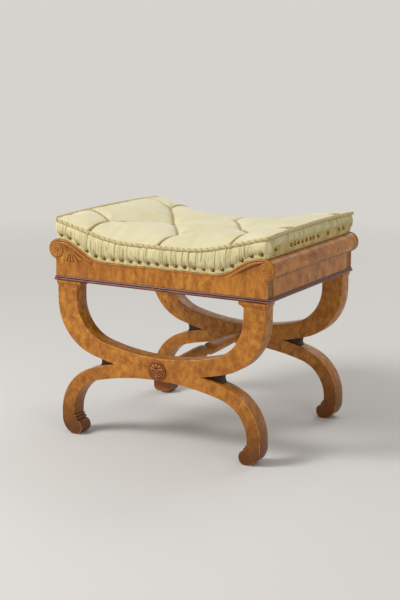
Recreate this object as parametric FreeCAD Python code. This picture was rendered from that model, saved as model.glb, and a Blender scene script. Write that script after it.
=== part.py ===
"""X-frame stool: two crossed frames, a boxed seat with scrolled ends and a tufted saddle cushion.

Millimetres. The origin is on the floor under the middle of the seat, X runs along the long side,
Y from front to back and Z up. The front and back halves are the same pieces turned half round.
"""
import FreeCAD, Part
import math
import os

from FreeCAD import Vector

# Seat box
SEAT_LENGTH = 554.0
SEAT_DEPTH = 464.0
FACING_THICKNESS = 5.0
RAIL_THICKNESS = 24.0
MOULDING_HEIGHT = 11.0
MOULDING_PROJECTION = 3.0
MOULDING_BEAD_HEIGHT = 6.5
APRON_HEIGHT = 52.0
SCROLL_RADIUS = 24.0
SCROLL_RISE = 45.5
SCROLL_INSET = 6.0
SCROLL_RELIEF = 2.0
SCROLL_BOSS_RADIUS = 20.0
END_APRON_HEIGHT = 51.0
SWEEP_RUN = 131.0
SWEEP_RADIUS = 97.0
SWEEP_ANGLE = 31.0
TACK_MARGIN = 17.0
END_TACK_MARGIN = 24.0
BLOCK_LEG = 46.0
BLOCK_HEIGHT = 50.0
BLOCK_LIFT = 28.0
SCREW_DIAMETER = 4.0
SCREW_HEAD_DIAMETER = 8.0
SCREW_HEAD_HEIGHT = 2.2
SCREW_LENGTH = 34.0
RAIL_DOWEL_DIAMETER = 9.0
RAIL_DOWEL_LENGTH = 50.0

# Crossed frames
FRAME_THICKNESS = 41.0
FRAME_SETBACK = 1.0
SEAM_HEIGHT = 187.5
UPPER_HEIGHT = 185.0
SEAM_LAP = 10.5
POST_INSET = 5.0
POST_WIDTH = 53.0
UPPER_OUTER_STRAIGHT = 30.0
UPPER_OUTER_BELLY = 20.0
UPPER_INNER_STRAIGHT = 25.0
UPPER_INNER_BELLY = 16.0
UPPER_CROWN = 28.5
FOOT_INSET = 12.0
LEG_WIDTH = 34.0
LOWER_SPRING = 55.0
LOWER_OUTER_BELLY = 23.0
LOWER_INNER_BELLY = 19.0
LOWER_CROWN = 23.5
HEEL_RADIUS = 40.0
TOE_RADIUS = 18.0
TOE_INSET = 36.0
SOLE_CUT = 1.0
CAP_HEIGHT = 15.5
CAP_SLAB = 7.5
CAP_OUTER_FLARE = 2.5
CAP_INNER_FLARE = 12.0
CAP_SIDE_FLARE = 2.0
TENON_WIDTH = 30.0
TENON_THICKNESS = 10.0
TENON_BELOW = 20.0
TENON_ABOVE = 22.0
WEDGE_END = 164.0
WEDGE_THICKNESS = 35.0
SEAM_DOWEL_DIAMETER = 10.0
SEAM_DOWEL_LENGTH = 30.0
SEAM_DOWEL_OFFSET = 62.0
PENDANT_WIDTH = 40.0
PENDANT_DEPTH = 22.0
PENDANT_DROP = 29.0
PENDANT_ROUND = 12.0
PENDANT_SETBACK = 18.0

# Rosette and stretcher
ROSETTE_DIAMETER = 48.0
ROSETTE_BACK = 3.0
ROSETTE_CROWN = 3.5
ROSETTE_PEG_DIAMETER = 8.0
ROSETTE_PEG_LENGTH = 10.0
STRETCHER_END_DIAMETER = 15.5
STRETCHER_SWELL_DIAMETER = 31.0
STRETCHER_NECK_DIAMETER = 13.0
STRETCHER_BEAD_DIAMETER = 21.0
STRETCHER_BEAD_WIDTH = 9.0
STRETCHER_NECK_LENGTH = 9.0
STRETCHER_SHOULDER = 3.0
STRETCHER_TENON_DIAMETER = 14.0
STRETCHER_TENON_LENGTH = 25.0

# Upholstery
WEB_WIDTH = 50.0
WEB_THICKNESS = 2.0
CROSS_WEB_COUNT = 7
LONG_WEB_COUNT = 5
WEB_HOLD = 20.0
HESSIAN_THICKNESS = 1.5
COVER_THICKNESS = 2.0
BAND_THICKNESS = 2.5
BAND_BULGE = 5.5
SIDE_TACK_HEIGHT = 26.0
FRONT_TACK_HEIGHT = 16.0
ROPE_RADIUS = 4.4
ROPE_LIFT = 49.5
ROPE_FLAT = 60.0
ROPE_SWEEP_RADIUS = 415.0
ROPE_SWEEP_ANGLE = 14.5
ROPE_SIDE_CROWN = 5.0
ROPE_CORNER_RADIUS = 10.0
ROPE_PROUD = 5.4
TUFT_PITCH_X = 185.0
TUFT_PITCH_Y = 280.0
TUFT_LIFT = 10.0
PLEAT_LIFT = 17.0
CROWN_LIFT = 23.0
EDGE_LIFT = 1.0
TIE_DIAMETER = 1.6
BRAID_WIDTH = 18.0
BRAID_THICKNESS = 1.5
BRAID_LIFT = 8.0
NAIL_HEAD_DIAMETER = 9.4
NAIL_HEAD_HEIGHT = 3.2
NAIL_SHANK_DIAMETER = 1.6
NAIL_SHANK_LENGTH = 13.0
NAIL_PITCH = 23.8
NAIL_EDGE = 11.0
NAIL_CORNER_GAP = 15.0
SIDE_NAIL_PLACES = (-195, -117, -96, -79, -59, -36, -15, 2, 29, 85, 149, 174)
CLOTH_THICKNESS = 1.0
CLOTH_HOLD = 14.0
TACK_HEAD_DIAMETER = 8.0
TACK_HEAD_HEIGHT = 1.0
TACK_SHANK_DIAMETER = 1.8
TACK_SHANK_LENGTH = 9.0

CLEARANCE = 0.3
SPARE = 50.0
SEAT_BASE = SEAM_HEIGHT + UPPER_HEIGHT
UPPER_OUTER_SPAN = SEAT_LENGTH - 2 * POST_INSET
LOWER_OUTER_SPAN = SEAT_LENGTH - 2 * FOOT_INSET
HALF_LENGTH = SEAT_LENGTH / 2
HALF_DEPTH = SEAT_DEPTH / 2
RAIL_FACE_X = HALF_LENGTH - FACING_THICKNESS
RAIL_FACE_Y = HALF_DEPTH - FACING_THICKNESS
RAIL_INNER_X = RAIL_FACE_X - RAIL_THICKNESS
RAIL_INNER_Y = RAIL_FACE_Y - RAIL_THICKNESS
MOULDING_TOP = SEAT_BASE + MOULDING_HEIGHT
APRON_TOP = SEAT_BASE + APRON_HEIGHT
ROPE_LOW = APRON_TOP + ROPE_LIFT
SCROLL_TOP = APRON_TOP + SCROLL_RISE
SCROLL_X = HALF_LENGTH - SCROLL_INSET
SCROLL_Z = SCROLL_TOP - SCROLL_RADIUS
FRAME_FRONT = -HALF_DEPTH + FRAME_SETBACK
FRAME_BACK = FRAME_FRONT + FRAME_THICKNESS
POST_TOP = SEAT_BASE - CAP_HEIGHT
LOWER_INNER_APEX = SEAM_HEIGHT - LOWER_CROWN
ROPE_X = RAIL_FACE_X + BAND_THICKNESS + ROPE_PROUD - 1.0
ROPE_Y = RAIL_FACE_Y + ROPE_PROUD


def at(x, z, y=0.0):
    return Vector(x, y, z)


def line(a, b):
    return Part.LineSegment(a, b).toShape()


def arc(a, middle, b):
    return Part.Arc(a, middle, b).toShape()


def path(*points):
    return [line(a, b) for a, b in zip(points, points[1:])]


def slab(edges, y_from, y_to):
    """Solid between two Y planes with an outline drawn at y = 0."""
    face = Part.Face(Part.Wire(Part.__sortEdges__(edges)))
    face.translate(Vector(0, y_from, 0))
    return face.extrude(Vector(0, y_to - y_from, 0))


def box(x_range, y_range, z_range):
    size = [high - low for low, high in (x_range, y_range, z_range)]
    return Part.makeBox(*size, Vector(x_range[0], y_range[0], z_range[0]))


def joined(shape, *others):
    """One solid from pieces that are glued or turned as one."""
    return shape.fuse(list(others)).removeSplitter().Solids[0]


def half_turn(shape):
    turned = shape.copy()
    turned.rotate(Vector(0, 0, 0), Vector(0, 0, 1), 180)
    return turned


def mirror_x(shape):
    return shape.mirror(Vector(0, 0, 0), Vector(1, 0, 0))


def basket(half_span, spring, apex, belly):
    """Edges of a three-centred arch from +X to -X, with straight tangents at the springing.

    The belly is how much more the arch rises than its corner arcs' radius.
    """
    side = 1 if apex > spring else -1
    rise = abs(apex - spring)
    corner = rise - belly
    crown = (half_span ** 2 + rise ** 2 - 2 * half_span * corner) / (2 * belly)
    corner_x = half_span - corner
    slope = math.atan2(crown - rise, corner_x)
    meet = (corner_x + corner * math.cos(slope), spring + side * corner * math.sin(slope))
    middle = (corner_x + corner * math.cos(slope / 2), spring + side * corner * math.sin(slope / 2))
    right = arc(at(half_span, spring), at(*middle), at(*meet))
    top = arc(at(*meet), at(0, apex), at(-meet[0], meet[1]))
    left = arc(at(-meet[0], meet[1]), at(-middle[0], middle[1]), at(-half_span, spring))
    return [right, top, left]


class Sweep:
    """Curve with a flat middle that rises at each end in an S of two arcs and a straight."""

    def __init__(self, low, high, reach):
        self.low, self.high, self.reach = low, high, reach
        self.angle = math.radians(SWEEP_ANGLE)
        self.flat = reach - SWEEP_RUN
        sine, versine = math.sin(self.angle), 1 - math.cos(self.angle)
        run = SWEEP_RUN - SWEEP_RADIUS * sine
        rise = high - low - SWEEP_RADIUS * versine
        self.straight = (rise * sine - run * versine) / (sine * sine - math.cos(self.angle) * versine)
        self.crest = (run - self.straight * math.cos(self.angle)) / sine
        self.x1 = self.flat + SWEEP_RADIUS * sine
        self.x2 = self.x1 + self.straight * math.cos(self.angle)

    def height(self, x):
        x = abs(x)
        if x <= self.flat:
            return self.low
        if x <= self.x1:
            return self.low + SWEEP_RADIUS - math.sqrt(SWEEP_RADIUS ** 2 - (x - self.flat) ** 2)
        if x <= self.x2:
            return self.height(self.x1) + (x - self.x1) * math.tan(self.angle)
        if x <= self.reach:
            return self.high - self.crest + math.sqrt(self.crest ** 2 - (self.reach - x) ** 2)
        return self.high

    def point(self, x, lift=0.0):
        return at(x, self.height(x) + lift)

    def edges(self, lift=0.0):
        stops = (self.flat, self.x1, self.x2, self.reach)
        edges = [line(self.point(-self.flat, lift), self.point(self.flat, lift))]
        for sign in (-1, 1):
            a, b, c, d = (self.point(sign * x, lift) for x in stops)
            low_middle = self.point(sign * (stops[0] + stops[1]) / 2, lift)
            high_middle = self.point(sign * (stops[2] + stops[3]) / 2, lift)
            edges += [arc(a, low_middle, b), line(b, c), arc(c, high_middle, d)]
        return edges

    def under(self, half_width, floor, y_range, lift=0.0):
        """Solid from a level floor up to the curve."""
        right, left = at(self.reach, self.high + lift), at(-self.reach, self.high + lift)
        edges = self.edges(lift)
        if half_width > self.reach:
            edges += path(right, at(half_width, self.high + lift))
            edges += path(left, at(-half_width, self.high + lift))
        corners = [at(half_width, self.high + lift), at(half_width, floor), at(-half_width, floor),
                   at(-half_width, self.high + lift)]
        return slab(edges + path(*corners), *y_range)

    def layer(self, lift, thickness, x_range, y_range):
        """Sheet that lies on the curve, cut to a rectangle seen from above."""
        upper, lower = self.edges(lift + thickness), self.edges(lift)
        ends = [line(self.point(s * self.reach, lift), self.point(s * self.reach, lift + thickness))
                for s in (-1, 1)]
        sheet = slab(upper + lower + ends, *y_range)
        if x_range[0] > -self.reach or x_range[1] < self.reach:
            sheet = sheet.common(box(x_range, y_range, (self.low - SPARE, self.high + SPARE)))
        return sheet


apron_sweep = Sweep(APRON_TOP, SCROLL_TOP, SCROLL_X)
rail_sweep = Sweep(APRON_TOP + TACK_MARGIN, SCROLL_TOP + END_TACK_MARGIN, SCROLL_X)


def rope_height(x):
    """Height of the piping over the front and back edges."""
    x, angle = abs(x), math.radians(ROPE_SWEEP_ANGLE)
    bend = ROPE_FLAT + ROPE_SWEEP_RADIUS * math.sin(angle)
    if x <= ROPE_FLAT:
        return ROPE_LOW
    if x <= bend:
        return ROPE_LOW + ROPE_SWEEP_RADIUS - math.sqrt(ROPE_SWEEP_RADIUS ** 2 - (x - ROPE_FLAT) ** 2)
    return rope_height(bend) + (x - bend) * math.tan(angle)


def side_rope_height(y):
    return rope_height(ROPE_X) + ROPE_SIDE_CROWN * (1 - (y / ROPE_Y) ** 2)


def upper_outline():
    return basket(UPPER_OUTER_SPAN / 2, POST_TOP - UPPER_OUTER_STRAIGHT, SEAM_HEIGHT - SEAM_LAP,
                  UPPER_OUTER_BELLY)


def lower_outline():
    return basket(LOWER_OUTER_SPAN / 2, LOWER_SPRING, SEAM_HEIGHT + SEAM_LAP, LOWER_OUTER_BELLY)


def upper_arch():
    half_outer = UPPER_OUTER_SPAN / 2
    half_inner = half_outer - POST_WIDTH
    outer = upper_outline()
    inner = basket(half_inner, POST_TOP - UPPER_INNER_STRAIGHT, SEAM_HEIGHT + UPPER_CROWN, UPPER_INNER_BELLY)
    posts = []
    for s in (-1, 1):
        posts += path(at(s * half_outer, POST_TOP - UPPER_OUTER_STRAIGHT), at(s * half_outer, POST_TOP),
                      at(s * half_inner, POST_TOP), at(s * half_inner, POST_TOP - UPPER_INNER_STRAIGHT))
    arch = slab(outer + inner + posts, FRAME_FRONT, FRAME_BACK)
    waste = box((-half_outer, half_outer), (FRAME_FRONT, FRAME_BACK), (0, SEAM_HEIGHT))
    return arch.cut(waste)


def lower_arch():
    half_outer = LOWER_OUTER_SPAN / 2
    half_inner = half_outer - LEG_WIDTH
    outer = lower_outline()
    inner = basket(half_inner, LOWER_SPRING, LOWER_INNER_APEX, LOWER_INNER_BELLY)
    ends = [line(at(s * half_outer, LOWER_SPRING), at(s * half_inner, LOWER_SPRING)) for s in (-1, 1)]
    arch = slab(outer + inner + ends, FRAME_FRONT, FRAME_BACK)
    return arch.fuse([foot(), mirror_x(foot())]).removeSplitter().cut(
        box((-half_outer, half_outer), (FRAME_FRONT, FRAME_BACK), (SEAM_HEIGHT, SEAM_HEIGHT + SPARE)))


def foot():
    """Leg end that curls inwards into a scroll, cut flat where it stands."""
    outer, inner = LOWER_OUTER_SPAN / 2, LOWER_OUTER_SPAN / 2 - LEG_WIDTH
    heel_x, heel_z = outer - HEEL_RADIUS, HEEL_RADIUS - SOLE_CUT
    toe_x, toe_z = outer - TOE_INSET, TOE_RADIUS - SOLE_CUT / 2
    diagonal = HEEL_RADIUS * math.sqrt(0.5)
    curve = arc(at(outer, heel_z), at(heel_x + diagonal, heel_z - diagonal), at(heel_x, -SOLE_CUT))
    edges = [curve] + path(at(heel_x, -SOLE_CUT), at(heel_x, toe_z), at(inner, toe_z),
                           at(inner, LOWER_SPRING), at(outer, LOWER_SPRING), at(outer, heel_z))
    leg = slab(edges, FRAME_FRONT, FRAME_BACK)
    toe = Part.makeCylinder(TOE_RADIUS, FRAME_THICKNESS, Vector(toe_x, FRAME_FRONT, toe_z), Vector(0, 1, 0))
    whole = leg.fuse(toe)
    return whole.common(box((0, outer), (FRAME_FRONT, FRAME_BACK), (0, LOWER_SPRING)))


def filler_wedge():
    """Block glued in the narrow gap between the backs of the two arches, on the right."""
    y_from = (FRAME_FRONT + FRAME_BACK - WEDGE_THICKNESS) / 2
    y_range = (y_from, y_from + WEDGE_THICKNESS)
    blank = box((0, WEDGE_END), y_range, (SEAM_HEIGHT - SPARE, SEAM_HEIGHT + SPARE))
    upper_spring = POST_TOP - UPPER_OUTER_STRAIGHT
    upper_void = slab(upper_outline() + [line(at(-UPPER_OUTER_SPAN / 2, upper_spring),
                                              at(UPPER_OUTER_SPAN / 2, upper_spring))], *y_range)
    lower_void = slab(lower_outline() + [line(at(-LOWER_OUTER_SPAN / 2, LOWER_SPRING),
                                              at(LOWER_OUTER_SPAN / 2, LOWER_SPRING))], *y_range)
    pieces = blank.cut([upper_void, lower_void]).Solids
    return max(pieces, key=lambda s: s.CenterOfMass.x)


def post_cap():
    """Cap over the right post: a cavetto under a thin square slab."""
    outer, inner = UPPER_OUTER_SPAN / 2, UPPER_OUTER_SPAN / 2 - POST_WIDTH
    slab_z = SEAT_BASE - CAP_SLAB
    wide_out, wide_in = outer + CAP_OUTER_FLARE, inner - CAP_INNER_FLARE
    neck_out, neck_in = wide_out - CAP_OUTER_FLARE / 3, wide_in + CAP_INNER_FLARE / 6
    hollow = 0.3
    middle_z = POST_TOP + (slab_z - POST_TOP) * (1 - hollow)
    right = arc(at(outer, POST_TOP), at(outer + (neck_out - outer) * hollow, middle_z), at(neck_out, slab_z))
    left = arc(at(neck_in, slab_z), at(inner + (neck_in - inner) * hollow, middle_z), at(inner, POST_TOP))
    edges = [right, left, line(at(inner, POST_TOP), at(outer, POST_TOP))]
    edges += path(at(neck_out, slab_z), at(wide_out, slab_z), at(wide_out, SEAT_BASE),
                  at(wide_in, SEAT_BASE), at(wide_in, slab_z), at(neck_in, slab_z))
    return slab(edges, FRAME_FRONT - CAP_SIDE_FLARE, FRAME_BACK + CAP_SIDE_FLARE)


def post_tenon():
    """Loose tenon that ties the right post through its cap into the front rail."""
    middle_x = UPPER_OUTER_SPAN / 2 - POST_WIDTH / 2
    middle_y = -RAIL_FACE_Y + RAIL_THICKNESS / 2
    return box((middle_x - TENON_WIDTH / 2, middle_x + TENON_WIDTH / 2),
               (middle_y - TENON_THICKNESS / 2, middle_y + TENON_THICKNESS / 2),
               (POST_TOP - TENON_BELOW, SEAT_BASE + TENON_ABOVE))


def seam_dowels():
    shapes = []
    middle_y, low = (FRAME_FRONT + FRAME_BACK) / 2, SEAM_HEIGHT - SEAM_DOWEL_LENGTH / 2
    for s in (-1, 1):
        base = Vector(s * SEAM_DOWEL_OFFSET, middle_y, low)
        shapes.append(Part.makeCylinder(SEAM_DOWEL_DIAMETER / 2, SEAM_DOWEL_LENGTH, base))
    return shapes


def turned_profile():
    """Half outline of the stretcher from one tenon to the middle bead, as (distance, radius) pairs."""
    end = -FRAME_BACK
    neck = STRETCHER_BEAD_WIDTH / 2 + STRETCHER_NECK_LENGTH
    swell = neck + STRETCHER_SHOULDER
    taper = swell + (end - swell) * 0.3
    return end, taper, swell, neck


def stretcher():
    """Turned rail between the frames: two long tapers, sharp shoulders and a bead on a thin neck."""
    end, taper, swell, neck = turned_profile()
    r_end, r_swell = STRETCHER_END_DIAMETER / 2, STRETCHER_SWELL_DIAMETER / 2
    r_neck, r_bead = STRETCHER_NECK_DIAMETER / 2, STRETCHER_BEAD_DIAMETER / 2
    r_tenon = STRETCHER_TENON_DIAMETER / 2
    half_bead = STRETCHER_BEAD_WIDTH / 2

    def spot(distance, radius):
        return Vector(radius, distance, 0)

    tip = end + STRETCHER_TENON_LENGTH
    edges = path(spot(0, 0), spot(tip, 0), spot(tip, r_tenon), spot(end, r_tenon), spot(end, r_end))
    r_taper = r_end + (r_swell - r_end) * 0.86
    bow = r_end + (r_taper - r_end) * 0.56
    edges.append(arc(spot(end, r_end), spot((end + taper) / 2, bow), spot(taper, r_taper)))
    edges.append(arc(spot(taper, r_taper), spot((taper + swell) / 2, (r_taper + r_swell) / 2 + 0.6),
                     spot(swell, r_swell)))
    edges += path(spot(swell, r_swell), spot(neck, r_neck + 1.5), spot(neck, r_neck), spot(half_bead, r_neck))
    edges.append(line(spot(half_bead, r_neck), spot(half_bead - 1.5, r_bead - 1.5)))
    edges.append(arc(spot(half_bead - 1.5, r_bead - 1.5), spot(half_bead / 3, r_bead - 0.2), spot(0, r_bead)))
    edges.append(line(spot(0, r_bead), spot(0, 0)))
    half = Part.Face(Part.Wire(Part.__sortEdges__(edges))).revolve(Vector(0, 0, 0), Vector(0, 1, 0), 360)
    whole = half.fuse(half.mirror(Vector(0, 0, 0), Vector(0, 1, 0))).removeSplitter()
    whole.translate(Vector(0, 0, SEAM_HEIGHT))
    return whole


def rosette():
    """Round domed medallion pegged over the crossing, in the front frame."""
    radius, peg = ROSETTE_DIAMETER / 2, ROSETTE_PEG_DIAMETER / 2
    rim = radius * 0.9

    def spot(distance, out):
        return Vector(distance, FRAME_FRONT - out, 0)

    edges = path(spot(0, -ROSETTE_PEG_LENGTH), spot(peg, -ROSETTE_PEG_LENGTH), spot(peg, 0), spot(radius, 0),
                 spot(radius, ROSETTE_BACK), spot(rim, ROSETTE_BACK))
    ball = (rim ** 2 + ROSETTE_CROWN ** 2) / (2 * ROSETTE_CROWN)
    shoulder = math.sqrt(ball ** 2 - (rim / 2) ** 2) - ball + ROSETTE_CROWN
    edges.append(arc(spot(rim, ROSETTE_BACK), spot(rim / 2, ROSETTE_BACK + shoulder),
                     spot(0, ROSETTE_BACK + ROSETTE_CROWN)))
    edges.append(line(spot(0, ROSETTE_BACK + ROSETTE_CROWN), spot(0, -ROSETTE_PEG_LENGTH)))
    medallion = Part.Face(Part.Wire(Part.__sortEdges__(edges))).revolve(Vector(0, 0, 0), Vector(0, 1, 0), 360)
    medallion.translate(Vector(0, 0, SEAM_HEIGHT))
    return medallion


def pendant(arch):
    """Rounded drop glued under the crown of the lower arch, nearer to its inner face."""
    half, y = PENDANT_WIDTH / 2, FRAME_FRONT + PENDANT_SETBACK
    bottom, radius = LOWER_INNER_APEX - PENDANT_DROP, PENDANT_ROUND
    reach = radius * (1 - math.sqrt(0.5))
    top = SEAM_HEIGHT
    edges = path(at(half, bottom + radius), at(half, top), at(-half, top), at(-half, bottom + radius))
    edges.append(line(at(radius - half, bottom), at(half - radius, bottom)))
    for s in (-1, 1):
        edges.append(arc(at(s * half, bottom + radius), at(s * (half - reach), bottom + reach),
                         at(s * (half - radius), bottom)))
    drop = slab(edges, y, y + PENDANT_DEPTH).cut(arch)
    return min(drop.Solids, key=lambda solid: solid.BoundBox.ZMin)


def front_rail():
    return rail_sweep.under(RAIL_FACE_X, SEAT_BASE, (-RAIL_FACE_Y, -RAIL_INNER_Y))


def right_rail():
    return box((RAIL_INNER_X, RAIL_FACE_X), (-RAIL_INNER_Y, RAIL_INNER_Y),
               (SEAT_BASE, SCROLL_TOP + END_TACK_MARGIN))


def corner_block():
    """Glue block in the front right corner of the rails."""
    x, y = RAIL_INNER_X, -RAIL_INNER_Y
    corners = [Vector(x, y, 0), Vector(x - BLOCK_LEG, y, 0), Vector(x, y + BLOCK_LEG, 0), Vector(x, y, 0)]
    block = Part.Face(Part.makePolygon(corners)).extrude(Vector(0, 0, BLOCK_HEIGHT))
    block.translate(Vector(0, 0, SEAT_BASE + BLOCK_LIFT))
    return block


def screw(start, direction):
    head = Part.makeCone(SCREW_HEAD_DIAMETER / 2, SCREW_DIAMETER / 2, SCREW_HEAD_HEIGHT, start, direction)
    shank = Part.makeCylinder(SCREW_DIAMETER / 2, SCREW_LENGTH - SCREW_HEAD_HEIGHT,
                              start + direction * SCREW_HEAD_HEIGHT, direction)
    return joined(head, shank)


def corner_screws():
    """One screw into each rail through the front right block."""
    z = SEAT_BASE + BLOCK_LIFT + BLOCK_HEIGHT / 2
    offset = BLOCK_LEG / 3
    depth = BLOCK_LEG - offset
    to_rail_x = Vector(RAIL_INNER_X - depth, -RAIL_INNER_Y + offset, z + BLOCK_HEIGHT / 5)
    to_rail_y = Vector(RAIL_INNER_X - offset, -RAIL_INNER_Y + depth, z - BLOCK_HEIGHT / 5)
    return [screw(to_rail_x, Vector(1, 0, 0)), screw(to_rail_y, Vector(0, -1, 0))]


def rail_dowels():
    """Two dowels that join the front rail to the end of the right rail."""
    x = (RAIL_INNER_X + RAIL_FACE_X) / 2
    y = -RAIL_INNER_Y - RAIL_THICKNESS * 0.7
    heights = (SEAT_BASE + TENON_ABOVE + RAIL_DOWEL_DIAMETER,
               SEAT_BASE + BLOCK_LIFT + BLOCK_HEIGHT + RAIL_DOWEL_DIAMETER / 2)
    return [Part.makeCylinder(RAIL_DOWEL_DIAMETER / 2, RAIL_DOWEL_LENGTH, Vector(x, y, z), Vector(0, 1, 0))
            for z in heights]


def front_apron():
    """Veneered facing with a scroll at each end of its swept top edge."""
    body = apron_sweep.under(HALF_LENGTH, MOULDING_TOP, (-HALF_DEPTH, -RAIL_FACE_Y))
    corner = box((SCROLL_X, HALF_LENGTH), (-HALF_DEPTH, -RAIL_FACE_Y), (SCROLL_Z, SCROLL_TOP))
    body = body.cut([corner, mirror_x(corner)])
    discs = []
    for s in (-1, 1):
        centre = Vector(s * SCROLL_X, -RAIL_FACE_Y, SCROLL_Z)
        discs.append(Part.makeCylinder(SCROLL_RADIUS, FACING_THICKNESS, centre, Vector(0, -1, 0)))
        discs.append(Part.makeCylinder(SCROLL_BOSS_RADIUS, FACING_THICKNESS + SCROLL_RELIEF, centre,
                                       Vector(0, -1, 0)))
    return body.fuse(discs).removeSplitter()


def right_end_apron():
    return box((RAIL_FACE_X, HALF_LENGTH), (-RAIL_FACE_Y, RAIL_FACE_Y),
               (MOULDING_TOP, SEAT_BASE + END_APRON_HEIGHT))


def right_end_roll():
    """Half-round roll along the end, between the scrolls of the front and back aprons."""
    roll = Part.makeCylinder(SCROLL_RADIUS, 2 * RAIL_FACE_Y, Vector(SCROLL_X, -RAIL_FACE_Y, SCROLL_Z),
                             Vector(0, 1, 0))
    keep = box((RAIL_FACE_X, SCROLL_X + SCROLL_RADIUS), (-RAIL_FACE_Y, RAIL_FACE_Y),
               (SEAT_BASE + END_APRON_HEIGHT, SCROLL_TOP))
    return roll.common(keep)


def moulding(half_length, face, depth):
    """Mitred base moulding: a bead over a fillet, drawn for the front."""
    out, inside = face + MOULDING_PROJECTION, face - depth
    bead = MOULDING_BEAD_HEIGHT
    top = MOULDING_TOP
    nose = Vector(0, -out, SEAT_BASE + bead / 2)

    def spot(y, z):
        return Vector(0, -y, z)

    bead_in = out - bead / 2
    edges = [arc(spot(bead_in, SEAT_BASE), nose, spot(bead_in, SEAT_BASE + bead))]
    edges += path(spot(bead_in, SEAT_BASE + bead), spot(face + 1, SEAT_BASE + bead), spot(face + 1, top),
                  spot(inside, top), spot(inside, SEAT_BASE), spot(bead_in, SEAT_BASE))
    face_shape = Part.Face(Part.Wire(Part.__sortEdges__(edges)))
    reach = half_length + MOULDING_PROJECTION
    face_shape.translate(Vector(-reach, 0, 0))
    strip = face_shape.extrude(Vector(2 * reach, 0, 0))
    inner = reach - (out - inside)
    plan = [Vector(-reach, -out, 0), Vector(reach, -out, 0), Vector(inner, -inside, 0),
            Vector(-inner, -inside, 0), Vector(-reach, -out, 0)]
    mitre = Part.Face(Part.makePolygon(plan)).extrude(Vector(0, 0, MOULDING_HEIGHT))
    mitre.translate(Vector(0, 0, SEAT_BASE))
    return strip.common(mitre)


def front_moulding():
    return moulding(HALF_LENGTH, HALF_DEPTH, FACING_THICKNESS)


def right_moulding():
    strip = moulding(HALF_DEPTH, HALF_LENGTH, FACING_THICKNESS)
    strip.rotate(Vector(0, 0, 0), Vector(0, 0, 1), 90)
    return strip


HESSIAN_LIFT = 2 * WEB_THICKNESS
PAD_LIFT = HESSIAN_LIFT + HESSIAN_THICKNESS


def webbing_rows(count, half_width):
    """Evenly spaced centres of webbing straps."""
    step = 2 * (half_width - WEB_WIDTH / 2) / (count - 1)
    return [-half_width + WEB_WIDTH / 2 + step * i for i in range(count)]


def cross_webbing():
    half = RAIL_INNER_Y + WEB_HOLD
    return [rail_sweep.layer(0, WEB_THICKNESS, (x - WEB_WIDTH / 2, x + WEB_WIDTH / 2), (-half, half))
            for x in webbing_rows(CROSS_WEB_COUNT, RAIL_INNER_X)]


def long_webbing():
    half = RAIL_INNER_X + WEB_HOLD
    return [rail_sweep.layer(WEB_THICKNESS, WEB_THICKNESS, (-half, half),
                             (y - WEB_WIDTH / 2, y + WEB_WIDTH / 2))
            for y in webbing_rows(LONG_WEB_COUNT, RAIL_INNER_Y)]


def webbing_tacks():
    """Two tacks hold each end of a cross strap to the front and back rails."""
    shapes = []
    for x in webbing_rows(CROSS_WEB_COUNT, RAIL_INNER_X):
        for side in (-WEB_WIDTH / 4, WEB_WIDTH / 4):
            for y in (-RAIL_INNER_Y - WEB_HOLD / 2, RAIL_INNER_Y + WEB_HOLD / 2):
                foot_z = rail_sweep.height(x + side) + WEB_THICKNESS
                head = Part.makeCylinder(TACK_HEAD_DIAMETER / 2, TACK_HEAD_HEIGHT,
                                         Vector(x + side, y, foot_z))
                shank = Part.makeCylinder(TACK_SHANK_DIAMETER / 2, TACK_SHANK_LENGTH,
                                          Vector(x + side, y, foot_z - TACK_SHANK_LENGTH))
                shapes.append(joined(head, shank))
    return shapes


def pleat_offset(x):
    """Distance from the middle line to the zigzag pleat that runs from tuft to tuft."""
    pitch, row = TUFT_PITCH_X / 2, TUFT_PITCH_Y / 2
    near = 8.0
    x = abs(x)
    if x >= 2 * pitch:
        return row
    share = abs(x - pitch) / pitch
    return near + (row - near) * share


def pleat_lift(x):
    """Height of the pleat above the edge: deep at the tufts and shallower between them."""
    pitch = TUFT_PITCH_X / 2
    share = abs(math.sin(math.pi * x / pitch))
    return TUFT_LIFT + (PLEAT_LIFT - TUFT_LIFT) * share


def swell(x):
    """Share of the full crown, which falls away towards the short sides."""
    start = TUFT_PITCH_X
    if abs(x) <= start:
        return 1.0
    share = (abs(x) - start) / (RAIL_FACE_X - start)
    return 1.0 - 0.8 * share * share


def top_points(x, drop):
    """Key points of the cushion's top at one station, from front to back."""
    edge_y = RAIL_FACE_Y + 1 - drop / 2
    base = rope_height(x) - drop
    row, full = pleat_offset(x), swell(x)
    side = ROPE_SIDE_CROWN * (1 - full)
    pleat = base + pleat_lift(x) * full + side
    crown = base + CROWN_LIFT * full + side
    middle = crown - (crown - pleat) * max(0.0, 1 - row / (TUFT_PITCH_Y / 4)) * 0.8
    edge = base + EDGE_LIFT
    outer_y = (edge_y + row) / 2 + (edge_y - row) * 0.05
    return [Vector(x, -edge_y, edge), Vector(x, -outer_y, crown), Vector(x, -row, pleat),
            Vector(x, 0, middle), Vector(x, row, pleat), Vector(x, outer_y, crown), Vector(x, edge_y, edge)]


def top_arcs(points):
    return [arc(*points[i:i + 3]) for i in (0, 2, 4)]


def cushion_stations():
    quarter = TUFT_PITCH_X / 8
    inner = [quarter * i for i in range(9)]
    outer = [TUFT_PITCH_X + (RAIL_FACE_X - TUFT_PITCH_X) * i / 4 for i in range(1, 5)]
    positive = inner + outer
    return [-x for x in reversed(positive[1:])] + positive


def top_cover():
    """Tufted panel of the cover, from rope to rope."""
    wires = []
    for x in cushion_stations():
        upper, lower = top_points(x, 0.0), top_points(x, COVER_THICKNESS)
        edges = top_arcs(upper) + [line(upper[-1], lower[-1])]
        edges += top_arcs(lower) + [line(lower[0], upper[0])]
        wires.append(Part.Wire(Part.__sortEdges__(edges)))
    return Part.makeLoft(wires, True, True)


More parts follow.
